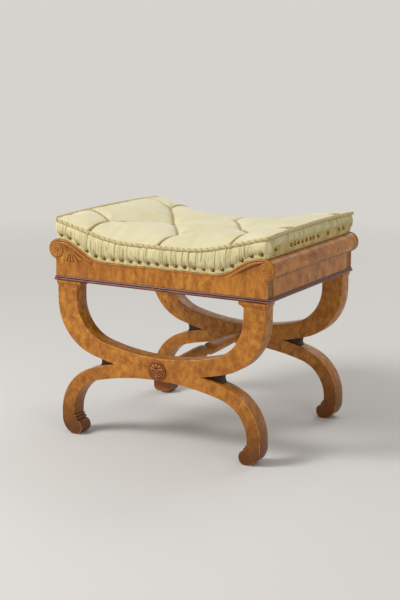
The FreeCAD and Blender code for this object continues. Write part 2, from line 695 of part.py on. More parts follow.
def stuffing_pad():
    """Stitched pad under the cover: saddle below, pillowed above, drawn in at the sides."""
    wires = []
    drop = COVER_THICKNESS + CLEARANCE / 3
    floor = SEAT_BASE + APRON_HEIGHT / 2
    waist = 2.0
    for x in cushion_stations():
        top = top_points(x, drop)
        front, back = top[0], top[-1]
        front_foot, back_foot = Vector(x, front.y + waist, floor), Vector(x, back.y - waist, floor)
        edges = top_arcs(top) + [line(back, back_foot), line(back_foot, front_foot), line(front_foot, front)]
        wires.append(Part.Wire(Part.__sortEdges__(edges)))
    blank = Part.makeLoft(wires, True, True)
    seat = rail_sweep.under(RAIL_FACE_X + 5, floor - 5, (-HALF_DEPTH - 5, HALF_DEPTH + 5), PAD_LIFT)
    return blank.cut([seat] + tuft_ties())


def tuft_places():
    row = TUFT_PITCH_Y / 2
    places = [(x, y) for x in (-TUFT_PITCH_X, 0, TUFT_PITCH_X) for y in (-row, row)]
    return places + [(-TUFT_PITCH_X / 2, 0), (TUFT_PITCH_X / 2, 0)]


def tuft_ties():
    """Twine that pulls each tuft down to the hessian."""
    shapes = []
    for x, y in tuft_places():
        bottom = rail_sweep.height(x) + PAD_LIFT
        top = rope_height(x) + pleat_lift(x) * swell(x) - COVER_THICKNESS
        shapes.append(Part.makeCylinder(TIE_DIAMETER / 2, top - bottom, Vector(x, y, bottom)))
    return shapes


def front_band():
    """Gathered strip of the cover from the nails up to the piping, along the front."""
    wires = []
    steps = 24
    for i in range(steps + 1):
        x = RAIL_FACE_X * (2 * i / steps - 1)
        top = rope_height(x) - ROPE_RADIUS
        low = apron_sweep.height(x) - 6
        tack = min(apron_sweep.height(x) + FRONT_TACK_HEIGHT, top - 8)
        flat, edge = RAIL_FACE_Y + BAND_THICKNESS, RAIL_FACE_Y + BAND_THICKNESS + 1
        inner = RAIL_FACE_Y + 1
        belly = (tack + top) / 2
        edges = [line(Vector(x, -flat, low), Vector(x, -flat, tack)),
                 arc(Vector(x, -flat, tack), Vector(x, -flat - BAND_BULGE, belly), Vector(x, -edge, top))]
        edges += path(Vector(x, -edge, top), Vector(x, -inner, top), Vector(x, -RAIL_FACE_Y, low),
                      Vector(x, -flat, low))
        wires.append(Part.Wire(Part.__sortEdges__(edges)))
    band = Part.makeLoft(wires, True, True)
    return band.cut(apron_sweep.under(RAIL_FACE_X + 5, SEAT_BASE, (-HALF_DEPTH - SPARE, 0)))


def right_band():
    """The same strip along the right side, above the end roll."""
    wires = []
    steps = 8
    low = SCROLL_TOP
    tack = low + SIDE_TACK_HEIGHT
    for i in range(steps + 1):
        y = RAIL_FACE_Y * (2 * i / steps - 1)
        top = side_rope_height(y) - ROPE_RADIUS
        flat, edge = RAIL_FACE_X + BAND_THICKNESS, ROPE_X - 1
        inner = RAIL_FACE_X
        belly = Vector(flat + BAND_BULGE, y, (tack + top) / 2)
        edges = [line(Vector(flat, y, low), Vector(flat, y, tack)),
                 arc(Vector(flat, y, tack), belly, Vector(edge, y, top))]
        edges += path(Vector(edge, y, top), Vector(inner, y, top), Vector(inner, y, low),
                      Vector(flat, y, low))
        wires.append(Part.Wire(Part.__sortEdges__(edges)))
    return Part.makeLoft(wires, True, True)


def right_braid():
    z = SCROLL_TOP + BRAID_LIFT
    x = RAIL_FACE_X + BAND_THICKNESS
    return box((x, x + BRAID_THICKNESS), (-RAIL_FACE_Y, RAIL_FACE_Y), (z, z + BRAID_WIDTH))


def right_half_rope():
    """Piping round the right half, from the middle of the front to the middle of the back."""
    angle = math.radians(ROPE_SWEEP_ANGLE)
    bend = ROPE_FLAT + ROPE_SWEEP_RADIUS * math.sin(angle)
    corner = Vector(ROPE_X, -ROPE_Y, rope_height(ROPE_X))
    slope = 2 * ROPE_SIDE_CROWN / ROPE_Y
    inward = Vector(-math.cos(angle), 0, -math.sin(angle))
    along = Vector(0, math.cos(math.atan(slope)), math.sin(math.atan(slope)))
    reach = ROPE_CORNER_RADIUS
    first, last = corner + inward * reach, corner + along * reach
    middle = corner + (inward + along) * (reach * (1 - math.sqrt(0.5)))
    front = [line(Vector(0, -ROPE_Y, ROPE_LOW), Vector(ROPE_FLAT, -ROPE_Y, ROPE_LOW))]
    half_bend = (ROPE_FLAT + bend) / 2
    front.append(arc(Vector(ROPE_FLAT, -ROPE_Y, ROPE_LOW), Vector(half_bend, -ROPE_Y, rope_height(half_bend)),
                     Vector(bend, -ROPE_Y, rope_height(bend))))
    front.append(line(Vector(bend, -ROPE_Y, rope_height(bend)), first))
    front.append(arc(first, middle, last))
    back = [edge.mirror(Vector(0, 0, 0), Vector(0, 1, 0)) for edge in front]
    side = arc(last, Vector(ROPE_X, 0, side_rope_height(0)), Vector(last.x, -last.y, last.z))
    spine = Part.Wire(Part.__sortEdges__(front + [side] + back))
    section = Part.Wire(Part.makeCircle(ROPE_RADIUS, Vector(0, -ROPE_Y, ROPE_LOW), Vector(1, 0, 0)))
    return spine.makePipeShell([section], True, False)


def nail(base, direction):
    """Domed upholstery nail: base is where the head meets the cloth, direction points outwards."""
    radius, height, thin = NAIL_HEAD_DIAMETER / 2, NAIL_HEAD_HEIGHT, NAIL_SHANK_DIAMETER / 2
    ball = (radius * radius + height * height) / (2 * height)
    shoulder = math.sqrt(ball ** 2 - (radius / 2) ** 2) - ball + height
    edges = [arc(at(radius, 0), at(radius / 2, shoulder), at(0, height))]
    edges += path(at(0, height), at(0, -NAIL_SHANK_LENGTH), at(thin, -NAIL_SHANK_LENGTH), at(thin, 0),
                  at(radius, 0))
    turned = Part.Face(Part.Wire(Part.__sortEdges__(edges))).revolve(Vector(0, 0, 0), Vector(0, 0, 1), 360)
    turned.Placement = FreeCAD.Placement(base, FreeCAD.Rotation(Vector(0, 0, 1), direction))
    return turned


def front_nails():
    """Nails that follow the swept edge of the front apron, evenly spaced."""
    half = SCROLL_X + FACING_THICKNESS - NAIL_CORNER_GAP
    count = round(2 * half / NAIL_PITCH) + 1
    shapes = []
    for i in range(count):
        x = -half + 2 * half * i / (count - 1)
        base = Vector(x, -RAIL_FACE_Y - BAND_THICKNESS, apron_sweep.height(x) + NAIL_EDGE)
        shapes.append(nail(base, Vector(0, -1, 0)))
    return shapes


def right_nails():
    """Nails through the braid on the right side, unevenly spaced where some were lost."""
    x = RAIL_FACE_X + BAND_THICKNESS + BRAID_THICKNESS
    z = SCROLL_TOP + BRAID_LIFT + BRAID_WIDTH / 2
    return [nail(Vector(x, y, z), Vector(1, 0, 0)) for y in SIDE_NAIL_PLACES]


def bottom_cloth():
    """Dust cloth under the rails, notched round the caps."""
    half_x, half_y = RAIL_INNER_X + CLOTH_HOLD, RAIL_INNER_Y + CLOTH_HOLD
    cloth = box((-half_x, half_x), (-half_y, half_y), (SEAT_BASE - CLOTH_THICKNESS, SEAT_BASE))
    notch_x = UPPER_OUTER_SPAN / 2 - POST_WIDTH - CAP_INNER_FLARE - CLEARANCE
    notch_y = -FRAME_BACK - CAP_SIDE_FLARE - CLEARANCE
    notches = [box(sorted((sx * notch_x, sx * (half_x + 1))), sorted((sy * notch_y, sy * (half_y + 1))),
                   (SEAT_BASE - 2 * CLOTH_THICKNESS, SEAT_BASE + CLOTH_THICKNESS))
               for sx in (-1, 1) for sy in (-1, 1)]
    return cloth.cut(notches)


def four_corners(shape):
    """The front right piece in all four corners, named by place."""
    left = mirror_x(shape)
    return {"front_right": shape, "front_left": left, "back_left": half_turn(shape),
            "back_right": half_turn(left)}


def build():
    nodes = {}
    tenons = four_corners(post_tenon())
    dowels = seam_dowels()
    rod = stretcher()
    badge = rosette()
    drop = pendant(lower_arch())
    upper = upper_arch().cut(dowels + [rod, badge, tenons["front_right"], tenons["front_left"]])
    lower = lower_arch().cut(dowels + [rod, badge])
    nodes["front_upper_arch"], nodes["back_upper_arch"] = upper, half_turn(upper)
    nodes["front_lower_arch"], nodes["back_lower_arch"] = lower, half_turn(lower)
    nodes["front_seam_dowels"] = Part.makeCompound(dowels)
    nodes["back_seam_dowels"] = Part.makeCompound([half_turn(d) for d in dowels])
    nodes["front_rosette"], nodes["back_rosette"] = badge, half_turn(badge)
    nodes["front_pendant"], nodes["back_pendant"] = drop, half_turn(drop)
    nodes["stretcher"] = rod
    nodes["post_tenons"] = Part.makeCompound(list(tenons.values()))
    cap = post_cap().cut(tenons["front_right"])
    for place, shape in four_corners(cap).items():
        nodes[place + "_post_cap"] = shape
    for place, shape in four_corners(filler_wedge()).items():
        nodes[place + "_wedge"] = shape

    screws = [s for pair in (four_corners(x) for x in corner_screws()) for s in pair.values()]
    pegs = [p for pair in (four_corners(x) for x in rail_dowels()) for p in pair.values()]
    long_nails, end_nails = front_nails(), right_nails()
    tacks = webbing_tacks()
    fixings = screws + pegs + tacks
    fixings += end_nails + [half_turn(n) for n in end_nails]
    rail = front_rail().cut([s for s in fixings if s.CenterOfMass.y < 0] + long_nails
                            + [tenons["front_right"], tenons["front_left"]])
    nodes["front_rail"] = rail
    nodes["back_rail"] = half_turn(rail)
    end_rail = right_rail().cut([s for s in screws + pegs if s.CenterOfMass.x > 0] + end_nails)
    nodes["right_rail"], nodes["left_rail"] = end_rail, half_turn(end_rail)
    block = corner_block().cut(corner_screws())
    for place, shape in four_corners(block).items():
        nodes[place + "_corner_block"] = shape
    nodes["corner_screws"] = Part.makeCompound(screws)
    nodes["rail_dowels"] = Part.makeCompound(pegs)

    apron = front_apron()
    nodes["front_apron"], nodes["back_apron"] = apron, half_turn(apron)
    nodes["right_end_apron"], nodes["left_end_apron"] = right_end_apron(), half_turn(right_end_apron())
    nodes["right_end_roll"], nodes["left_end_roll"] = right_end_roll(), half_turn(right_end_roll())
    nodes["front_moulding"], nodes["back_moulding"] = front_moulding(), half_turn(front_moulding())
    nodes["right_moulding"], nodes["left_moulding"] = right_moulding(), half_turn(right_moulding())

    nodes["cross_webbing"] = Part.makeCompound([strap.cut(tacks) for strap in cross_webbing()])
    nodes["long_webbing"] = Part.makeCompound([strap.cut(tacks) for strap in long_webbing()])
    nodes["webbing_tacks"] = Part.makeCompound(tacks)
    half_x, half_y = RAIL_INNER_X + WEB_HOLD, RAIL_INNER_Y + WEB_HOLD
    nodes["hessian"] = rail_sweep.layer(HESSIAN_LIFT, HESSIAN_THICKNESS, (-half_x, half_x), (-half_y, half_y))
    nodes["stuffing_pad"] = stuffing_pad()
    nodes["tuft_ties"] = Part.makeCompound(tuft_ties())
    nodes["top_cover"] = top_cover()
    band = front_band().cut(long_nails)
    nodes["front_band"], nodes["back_band"] = band, half_turn(band)
    end_band = right_band().cut(end_nails)
    nodes["right_band"], nodes["left_band"] = end_band, half_turn(end_band)
    braid = right_braid().cut(end_nails)
    nodes["right_braid"], nodes["left_braid"] = braid, half_turn(braid)
    rope = right_half_rope()
    nodes["rope_piping"] = Part.makeCompound([rope, half_turn(rope)])
    nodes["front_nails"] = Part.makeCompound(long_nails)
    nodes["back_nails"] = Part.makeCompound([half_turn(n) for n in long_nails])
    nodes["right_nails"] = Part.makeCompound(end_nails)
    nodes["left_nails"] = Part.makeCompound([half_turn(n) for n in end_nails])
    nodes["bottom_cloth"] = bottom_cloth()
    return nodes


os.makedirs("parts", exist_ok=True)
whole = FreeCAD.BoundBox()
for name, shape in build().items():
    if not shape.isValid():
        print("not valid:", name)
    whole.add(shape.BoundBox)
    print(f"{name}: {len(shape.Solids)} solids, {shape.Volume / 1000:.1f} cm3")
    shape.exportStep(f"parts/{name}.step")
print(f"whole: {whole.XLength:.1f} x {whole.YLength:.1f} x {whole.ZLength:.1f}, floor {whole.ZMin:.3f}")
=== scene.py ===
"""X-frame stool with scrolled aprons and a tufted saddle cushion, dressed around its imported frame.

Lengths are metres. X runs along the long side, Y from front to back and Z up. The back half of the stool
is the front half turned half round.
"""
import math
from functools import partial

import bmesh
import bpy
import numpy as np
from mathutils import Matrix, Vector
from mathutils.geometry import tessellate_polygon


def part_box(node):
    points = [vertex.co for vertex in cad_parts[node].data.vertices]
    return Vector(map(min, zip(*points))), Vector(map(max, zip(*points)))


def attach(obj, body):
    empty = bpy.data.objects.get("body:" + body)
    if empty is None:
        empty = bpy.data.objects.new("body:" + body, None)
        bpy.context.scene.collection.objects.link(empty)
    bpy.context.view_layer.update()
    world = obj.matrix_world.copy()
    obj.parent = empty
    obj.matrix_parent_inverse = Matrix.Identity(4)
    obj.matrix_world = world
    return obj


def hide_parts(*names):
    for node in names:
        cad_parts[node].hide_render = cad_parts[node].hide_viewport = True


bl_info = {
    "name": "X-Frame Stool",
    "version": (1, 0, 0),
    "blender": (4, 5, 0),
    "location": "3D View > Sidebar > Stool",
    "description": "Builds a veneered X-frame stool with a tufted silk cushion around its frame",
    "category": "Object",
}

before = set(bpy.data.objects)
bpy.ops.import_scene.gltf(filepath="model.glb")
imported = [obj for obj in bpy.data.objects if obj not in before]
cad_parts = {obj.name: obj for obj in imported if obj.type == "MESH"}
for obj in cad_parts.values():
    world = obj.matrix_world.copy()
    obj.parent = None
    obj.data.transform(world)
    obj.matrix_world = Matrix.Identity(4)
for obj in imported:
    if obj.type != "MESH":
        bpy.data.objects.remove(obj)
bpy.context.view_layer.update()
MM = 0.001

# Seat box, from the frame
RAIL_LOW, RAIL_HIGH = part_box("front_rail")
END_LOW, END_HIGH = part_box("right_end_apron")
ROLL_LOW, ROLL_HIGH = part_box("right_end_roll")
FACE_X, FACE_Y = RAIL_HIGH.x, -RAIL_LOW.y
HALF_LENGTH = END_HIGH.x
FACING = HALF_LENGTH - FACE_X
HALF_DEPTH = FACE_Y + FACING
SEAT_BASE = RAIL_LOW.z
MOULDING_TOP = END_LOW.z
SCROLL_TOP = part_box("front_apron")[1].z
SCROLL_X = HALF_LENGTH - 6 * MM
SCROLL_RADIUS = ROLL_HIGH.x - SCROLL_X
SCROLL_Z = SCROLL_TOP - SCROLL_RADIUS
APRON_TOP = SEAT_BASE + 52 * MM
SWEEP_RUN = 131 * MM
SWEEP_RADIUS = 97 * MM
SWEEP_ANGLE = math.radians(31)

# Crossed frames, from the frame
ARCH_LOW, ARCH_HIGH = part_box("front_upper_arch")
LEG_LOW, LEG_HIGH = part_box("front_lower_arch")
FRAME_FRONT, FRAME_BACK = ARCH_LOW.y, ARCH_HIGH.y
SEAM = ARCH_LOW.z
POST_TOP = ARCH_HIGH.z
POST_WIDTH = 53 * MM
POST_JOINT = 329 * MM
LEG_WIDTH = 34 * MM
SEAM_LAP = 10.5 * MM
LEG_SPRING = 55 * MM
UPPER_BELLY, LOWER_BELLY = 20 * MM, 23 * MM
HEEL_RADIUS = 40 * MM
TOE_RADIUS = 18 * MM
TOE_INSET = 36 * MM
ROSETTE_RADIUS = 24 * MM

# Upholstery
ROPE_LOW_Z = APRON_TOP + 49.5 * MM
ROPE_FLAT = 60 * MM
ROPE_SWEEP_RADIUS = 415 * MM
ROPE_SWEEP_ANGLE = math.radians(14.5)
ROPE_SIDE_CROWN = 5 * MM
ROPE_RADIUS = 4.4 * MM
ROPE_X = FACE_X + 6.9 * MM
ROPE_Y = FACE_Y + 5.4 * MM
ROPE_CORNER = 10 * MM
TUFT_PITCH_X = 185 * MM
TUFT_PITCH_Y = 280 * MM
BAND_THICKNESS = 2.5 * MM
NAIL_EDGE = 11 * MM
NAIL_PITCH = 23.8 * MM
NAIL_END = 261 * MM
SIDE_NAIL_PLACES = (-195, -117, -96, -79, -59, -36, -15, 2, 29, 85, 149, 174)
BRAID_LOW, BRAID_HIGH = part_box("right_braid")


def linear(code):
    """Linear colour of an sRGB hex value such as #B8782F."""
    parts = [int(code[i:i + 2], 16) / 255 for i in (1, 3, 5)]
    return tuple(c / 12.92 if c <= 0.04045 else ((c + 0.055) / 1.055) ** 2.4 for c in parts)


def length(title, text, default):
    return bpy.props.FloatProperty(name=title, description=text, default=default, min=0, unit="LENGTH",
                                   precision=5)


def colour(title, text, code):
    return bpy.props.FloatVectorProperty(name=title, description=text, default=linear(code), min=0, max=1,
                                         size=3, subtype="COLOR")


class StoolSizes(bpy.types.PropertyGroup):
    """Sizes of the trim and carving, which the frame leaves open."""

    edge_round: length("Edge Round", "Radius of the worn edges of the frames", 1.3 * MM)
    bead_pitch: length("Volute Bead", "Width of one bead of the carved scrolls", 5.1 * MM)
    carving_relief: length("Carving Relief", "Height of the carved band over the apron", 2.6 * MM)
    strand_lay: length("Cord Lay", "Length in which a strand of the piping goes once round", 15 * MM)
    pleat_cord: length("Pleat Cord", "Diameter of the cord laid in the pleats", 6.4 * MM)
    gather_pitch: length("Gather Pitch", "Mean distance between the gathers of the side bands", 3.4 * MM)
    gather_depth: length("Gather Depth", "Depth of the gathers of the side bands", 1.2 * MM)
    nail_diameter: length("Nail Diameter", "Diameter of a nail head", 9.4 * MM)
    nail_height: length("Nail Height", "Height of a nail head", 3.4 * MM)
    tuft_lift: length("Tuft Lift", "Height of a tuft over the piping beside it", 8 * MM)
    pleat_lift: length("Pleat Lift", "Height of a pleat half way between two tufts", 15 * MM)
    crown_lift: length("Crown Lift", "Height of the fullest point of a panel over the piping", 27 * MM)


class StoolColours(bpy.types.PropertyGroup):
    """Colours of the finishes."""

    birch_light: colour("Birch Light", "Bright flecks of the veneer", "#CE8B33")
    birch_mid: colour("Birch", "Body colour of the polished veneer", "#AD6A22")
    birch_dark: colour("Birch Dark", "Dark figure of the veneer", "#824612")
    carved: colour("Carved Wood", "Stained wood of the carving", "#93501C")
    moulding: colour("Moulding", "Red-brown stain of the mouldings", "#5E2412")
    silk: colour("Silk", "Cover of the cushion", "#E5DCB4")
    band_silk: colour("Band Silk", "Gathered silk of the sides", "#E0D4A2")
    silk_shade: colour("Silk Shade", "Faded and soiled parts of the silk", "#D2C794")
    cord_light: colour("Cord Light", "Light strands of the piping", "#E6D7A4")
    # One strand in three of the piping gets this darker colour as painted shade of the twist.
    cord_dark: colour("Cord Dark", "Dark strands of the piping", "#C6AF74")
    # The pleat cord's colours are the piping's gold made darker as painted shade for the pleats.
    pleat_shaded_light: colour("Pleat Cord Light", "Light strands of the cord in the pleats", "#D3BC7E")
    pleat_dark: colour("Pleat Cord Dark", "Dark strands of the cord in the pleats", "#B49A5C")
    braid: colour("Braid", "Gold braid of the short sides", "#E0C678")
    brass: colour("Nail Brass", "Patinated brass of the nails", "#9A7842")
    floor: colour("Floor", "Studio floor and backdrop", "#DEDCD8")


def sizes():
    return bpy.context.scene.stool_sizes


def colours():
    return bpy.context.scene.stool_colours


# Small tools for shapes

def smooth(value, start, end):
    """Eased step from 0 at start to 1 at end."""
    share = np.clip((value - start) / (end - start), 0.0, 1.0)
    return share * share * (3 - 2 * share)


def wobble(place, pitch, seed):
    """Smooth wave between -1 and 1 with one random value each pitch."""
    values = np.random.default_rng(seed).uniform(-1, 1, 4096)
    cell = np.floor(np.asarray(place) / pitch).astype(int)
    part = smooth(np.asarray(place) / pitch - cell, 0.0, 1.0)
    return values[cell % 4096] * (1 - part) + values[(cell + 1) % 4096] * part


def arc_points(centre, radius, start, end, count):
    """Points on an arc, with angles in degrees."""
    angles = np.radians(np.linspace(start, end, count))
    return np.stack([centre[0] + radius * np.cos(angles), centre[1] + radius * np.sin(angles)], 1)


def basket(half_span, spring, apex, belly, count=160):
    """Points of a three-centred arch from +X to -X, with upright tangents at the springing."""
    side, rise = (1 if apex > spring else -1), abs(apex - spring)
    corner = rise - belly
    crown = (half_span ** 2 + rise ** 2 - 2 * half_span * corner) / (2 * belly)
    turn = math.degrees(math.atan2(crown - rise, half_span - corner))
    right = arc_points((half_span - corner, 0), corner, 0, turn, count // 4)
    top = arc_points((0, rise - crown), crown, turn, 180 - turn, count // 2)
    left = right[::-1] * (-1, 1)
    points = np.concatenate([right, top[1:-1], left])
    return np.stack([points[:, 0], spring + side * points[:, 1]], 1)


def swept_height(x):
    """Top edge of the front and back aprons: flat, then an S of two arcs and a straight at each end."""
    x = np.abs(x)
    sine, cosine = math.sin(SWEEP_ANGLE), math.cos(SWEEP_ANGLE)
    flat = SCROLL_X - SWEEP_RUN
    run = SWEEP_RUN - SWEEP_RADIUS * sine
    rise = SCROLL_TOP - APRON_TOP - SWEEP_RADIUS * (1 - cosine)
    straight = (rise * sine - run * (1 - cosine)) / (sine * sine - cosine * (1 - cosine))
    crest = (run - straight * cosine) / sine
    x1 = flat + SWEEP_RADIUS * sine
    x2 = x1 + straight * cosine
    low_arc = APRON_TOP + SWEEP_RADIUS - np.sqrt(SWEEP_RADIUS ** 2 - np.clip(x - flat, 0, x1 - flat) ** 2)
    high_arc = SCROLL_TOP - crest + np.sqrt(np.maximum(crest ** 2 - np.clip(SCROLL_X - x, 0, crest) ** 2, 0))
    middle = low_arc + (x - x1) * math.tan(SWEEP_ANGLE)
    return np.where(x <= x1, low_arc, np.where(x <= x2, middle, high_arc))


def rope_height(x):
    """Height of the piping over the front and back edges."""
    x = np.abs(x)
    bend = ROPE_FLAT + ROPE_SWEEP_RADIUS * math.sin(ROPE_SWEEP_ANGLE)
    near = np.clip(x - ROPE_FLAT, 0, bend - ROPE_FLAT)
    curve = ROPE_LOW_Z + ROPE_SWEEP_RADIUS - np.sqrt(ROPE_SWEEP_RADIUS ** 2 - near ** 2)
    return curve + np.maximum(x - bend, 0) * math.tan(ROPE_SWEEP_ANGLE)


def side_rope_height(y):
    return rope_height(ROPE_X) + ROPE_SIDE_CROWN * (1 - (np.asarray(y) / ROPE_Y) ** 2)


def grid_faces(columns, rows, closed=False):
    """Quads of a grid whose vertices run row by row inside each column."""
    faces = []
    for i in range(columns if closed else columns - 1):
        a, b = i * rows, (i + 1) % columns * rows
        faces += [(a + j, b + j, b + j + 1, a + j + 1) for j in range(rows - 1)]
    return faces


def ring_faces(rings, count):
    """Quads between closed rings of points that follow one another."""
    starts = [(k * count, (k + 1) * count) for k in range(rings - 1)]
    return [(a + i, a + (i + 1) % count, b + (i + 1) % count, b + i) for a, b in starts for i in range(count)]


def strip_faces(columns, ring):
    """Closed skin of a strip: each column is a ring of points, and the first and last are its ends."""
    faces = grid_faces(columns, ring)
    for i in range(columns - 1):
        faces.append((i * ring + ring - 1, (i + 1) * ring + ring - 1, (i + 1) * ring, i * ring))
    return faces + [tuple(range(ring)), tuple((columns - 1) * ring + j for j in range(ring))[::-1]]


def flat_triangles(outline, start=0):
    """Counter-clockwise triangles that fill an outline, with its points counted from start."""
    triangles = []
    for tri in tessellate_polygon([[Vector((p[0], p[1], 0)) for p in outline]]):
        a, b, c = (outline[t] for t in tri)
        turned = (b[0] - a[0]) * (c[1] - a[1]) - (b[1] - a[1]) * (c[0] - a[0]) > 0
        triangles.append(tuple(start + t for t in (tri if turned else tri[::-1])))
    return triangles


def backwards(faces):
    return [face[::-1] for face in faces]


def make_piece(name, points, faces, **attributes):
    """Mesh object with its place in its mesh, and one number per vertex for each named attribute."""
    mesh = bpy.data.meshes.new(name)
    mesh.from_pydata([tuple(map(float, p)) for p in points], [], faces)
    for key, values in attributes.items():
        layer = mesh.attributes.new(key, "FLOAT", "POINT")
        layer.data.foreach_set("value", np.asarray(values, dtype=np.float32))
    mesh.validate()
    piece = bpy.data.objects.new(name, mesh)
    bpy.context.scene.collection.objects.link(piece)
    return piece


def merge_points(piece, distance=1e-6):
    work = bmesh.new()
    work.from_mesh(piece.data)
    bmesh.ops.remove_doubles(work, verts=work.verts, dist=distance)
    bmesh.ops.dissolve_degenerate(work, edges=work.edges, dist=distance)
    work.to_mesh(piece.data)
    work.free()


def turned_copy(piece, name, turn=Matrix.Rotation(math.pi, 4, "Z")):
    """Copy for the other end or side, turned half round in its mesh."""
    twin = piece.copy()
    twin.data = piece.data.copy()
    twin.name = twin.data.name = name
    twin.data.transform(turn)
    bpy.context.scene.collection.objects.link(twin)
    return twin


def mirrored_copy(piece, name):
    """Mirror image in X, with its faces turned outwards again."""
    twin = turned_copy(piece, name, Matrix.Scale(-1, 4, (1, 0, 0)))
    twin.data.flip_normals()
    return twin


def place(piece, slot, *nodes, angle=40, material=None):
    """Shades a finished piece, gives it its finish and seats it on the frame for its nodes."""
    piece.data.shade_smooth()
    piece.data.set_sharp_from_angle(angle=math.radians(angle))
    if material is not None:
        piece.data.materials.clear()
        piece.data.materials.append(material)
    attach(piece, "root")
    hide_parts(*nodes)


def place_both(piece, slot, angle=40, material=None):
    """Places a piece that is named after its node, and its copy turned half round on the other side."""
    kind, side = piece.name.rsplit("_", 1)
    other = {"front": "back", "right": "left"}[side]
    place(piece, slot, f"{side}_{kind}", angle=angle, material=material)
    place(turned_copy(piece, f"{kind}_{other}"), slot, f"{other}_{kind}", angle=angle, material=material)


def place_in_corners(piece, slot, node, material, angle=40):
    """Places a piece made for the right front corner in all four corners."""
    kind = piece.name.removesuffix("_front_right")
    left = mirrored_copy(piece, f"{kind}_front_left")
    for part, corner in ((piece, "front_right"), (left, "front_left"),
                         (turned_copy(piece, f"{kind}_back_left"), "back_left"),
                         (turned_copy(left, f"{kind}_back_right"), "back_right")):
        place(part, slot, f"{corner}_{node}", material=material, angle=angle)


def dress_nodes(material, *nodes):
    """Gives CAD nodes that keep their shape a finish."""
    for node in nodes:
        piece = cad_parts[node]
        piece.data.materials.clear()
        piece.data.materials.append(material)


def inward_normals(outline):
    """Directions into a counter-clockwise outline at each point, lengthened a little at corners."""
    ahead = np.roll(outline, -1, 0) - outline
    behind = outline - np.roll(outline, 1, 0)

    def left(direction):
        turned = np.stack([-direction[:, 1], direction[:, 0]], 1)
        return turned / np.linalg.norm(turned, axis=1, keepdims=True)

    a, b = left(behind), left(ahead)
    middle = a + b
    middle /= np.maximum(np.linalg.norm(middle, axis=1, keepdims=True), 1e-9)
    return middle / np.clip(np.sum(middle * a, axis=1), 0.6, 1)[:, None]


def rounded_prism(name, outline, y_front, y_back, rounding, steps=4):
    """Closed solid between two Y planes with rounded edges; rounding may differ from point to point."""
    outline = np.asarray(outline, float)
    count = len(outline)
    radius = np.broadcast_to(np.asarray(rounding, float), (count,))[:, None]
    normal = inward_normals(outline)
    exposed = smooth(radius[:, 0], 0.4 * MM, 0.9 * MM)
    face = outline + normal * radius * 2.2
    halves = []
    for y, inwards in ((y_front, 1), (y_back, -1)):
        rings = [(face, np.full(count, y), np.zeros(count))]
        # The third value of each ring marks the rounded edge, most half way round: wear, with a painted
        # highlight.
        for turn in np.radians(np.linspace(0, 90, steps)):
            rings.append((outline + normal * radius * (1 - math.sin(turn)),
                          y + inwards * radius[:, 0] * (1 - math.cos(turn)), math.sin(2 * turn) * exposed))
        halves.append(rings)
    rings = halves[0] + halves[1][::-1]
    points = np.concatenate([np.stack([flat[:, 0], y, flat[:, 1]], 1) for flat, y, _ in rings])
    faces = backwards(ring_faces(len(rings), count)) + flat_triangles(face)
    faces += backwards(flat_triangles(face, len(points) - count))
    return make_piece(name, points, faces, wear=np.concatenate([worn for _, _, worn in rings]))


def ring_loft(name, levels, corner, steps=4):
    """Closed solid of rounded rectangles stacked in Z: each level is (z, x0, x1, y0, y1)."""
    points = []
    for z, x0, x1, y0, y1 in levels:
        arcs = []
        for x, y, start in ((x1, y1, 0), (x0, y1, 90), (x0, y0, 180), (x1, y0, 270)):
            centre = (x - math.copysign(corner, x - (x0 + x1) / 2),
                      y - math.copysign(corner, y - (y0 + y1) / 2))
            arcs.append(arc_points(centre, corner, start, start + 90, steps))
        ring = np.concatenate(arcs)
        points.append(np.column_stack([ring, np.full(len(ring), z)]))
    count, last = len(points[0]), len(points) - 1
    faces = ring_faces(len(points), count)
    faces += [tuple(range(count))[::-1], tuple(last * count + i for i in range(count))]
    return make_piece(name, np.concatenate(points), faces)


# Materials

MATH, VECTOR_MATH, MIX, WAVE = "ShaderNodeMath", "ShaderNodeVectorMath", "ShaderNodeMix", "ShaderNodeTexWave"
MAP_RANGE, COLOUR_RAMP, BUMP = "ShaderNodeMapRange", "ShaderNodeValToRGB", "ShaderNodeBump"


def connect(node, links):
    """Gives inputs of a node their values, or links them to the nodes or outputs that feed them."""
    for key, value in links.items():
        socket = node.inputs[key]
        if isinstance(value, bpy.types.Node):
            value = next(output for output in value.outputs if output.enabled)
        if isinstance(value, bpy.types.NodeSocket):
            node.id_data.links.new(value, socket)
        else:
            socket.default_value = (*tuple(value)[:3], 1) if socket.type == "RGBA" else value


def add(tree, kind, links=None, stops=(), **settings):
    """Adds one node with its settings and links; stops are the (place, colour) pairs of a colour ramp."""
    node = tree.nodes.new(kind)
    for key, value in settings.items():
        setattr(node, key, value)
    connect(node, links or {})
    for number, (spot, tint) in enumerate(stops):
        if number == len(node.color_ramp.elements):
            node.color_ramp.elements.new(1.0)
        element = node.color_ramp.elements[number]
        element.position, element.color = spot, (*tuple(tint)[:3], 1)
    return node


def new_material(name, shader):
    """Material with these shader values, a maker of its nodes, its shader and its object coordinates."""
    material = bpy.data.materials.new(name)
    material.use_nodes = True
    material.node_tree.nodes.clear()
    node = partial(add, material.node_tree)
    principled = node("ShaderNodeBsdfPrincipled", shader)
    node("ShaderNodeOutputMaterial", {"Surface": principled})
    return material, node, principled, node("ShaderNodeTexCoord").outputs["Object"]


def pattern(node, place, flecks, detail=4.0, roughness=0.55, distortion=0.0):
    """Cloudy pattern with this many flecks per metre along each axis."""
    stretched = node("ShaderNodeMapping", {"Vector": place, "Scale": np.broadcast_to(flecks, 3).tolist()})
    return node("ShaderNodeTexNoise", {"Vector": stretched, "Scale": 1.0, "Detail": detail,
                                       "Roughness": roughness, "Distortion": distortion})


def mottled(node, body, strength, low, high, share, tint):
    """Lays a second colour over the first: none of it where strength is low, this share where it is high."""
    amount = node(MAP_RANGE, {"Value": strength, "From Min": low, "From Max": high, "To Max": share})
    return node(MIX, {0: amount, 6: body, 7: tint}, data_type="RGBA")


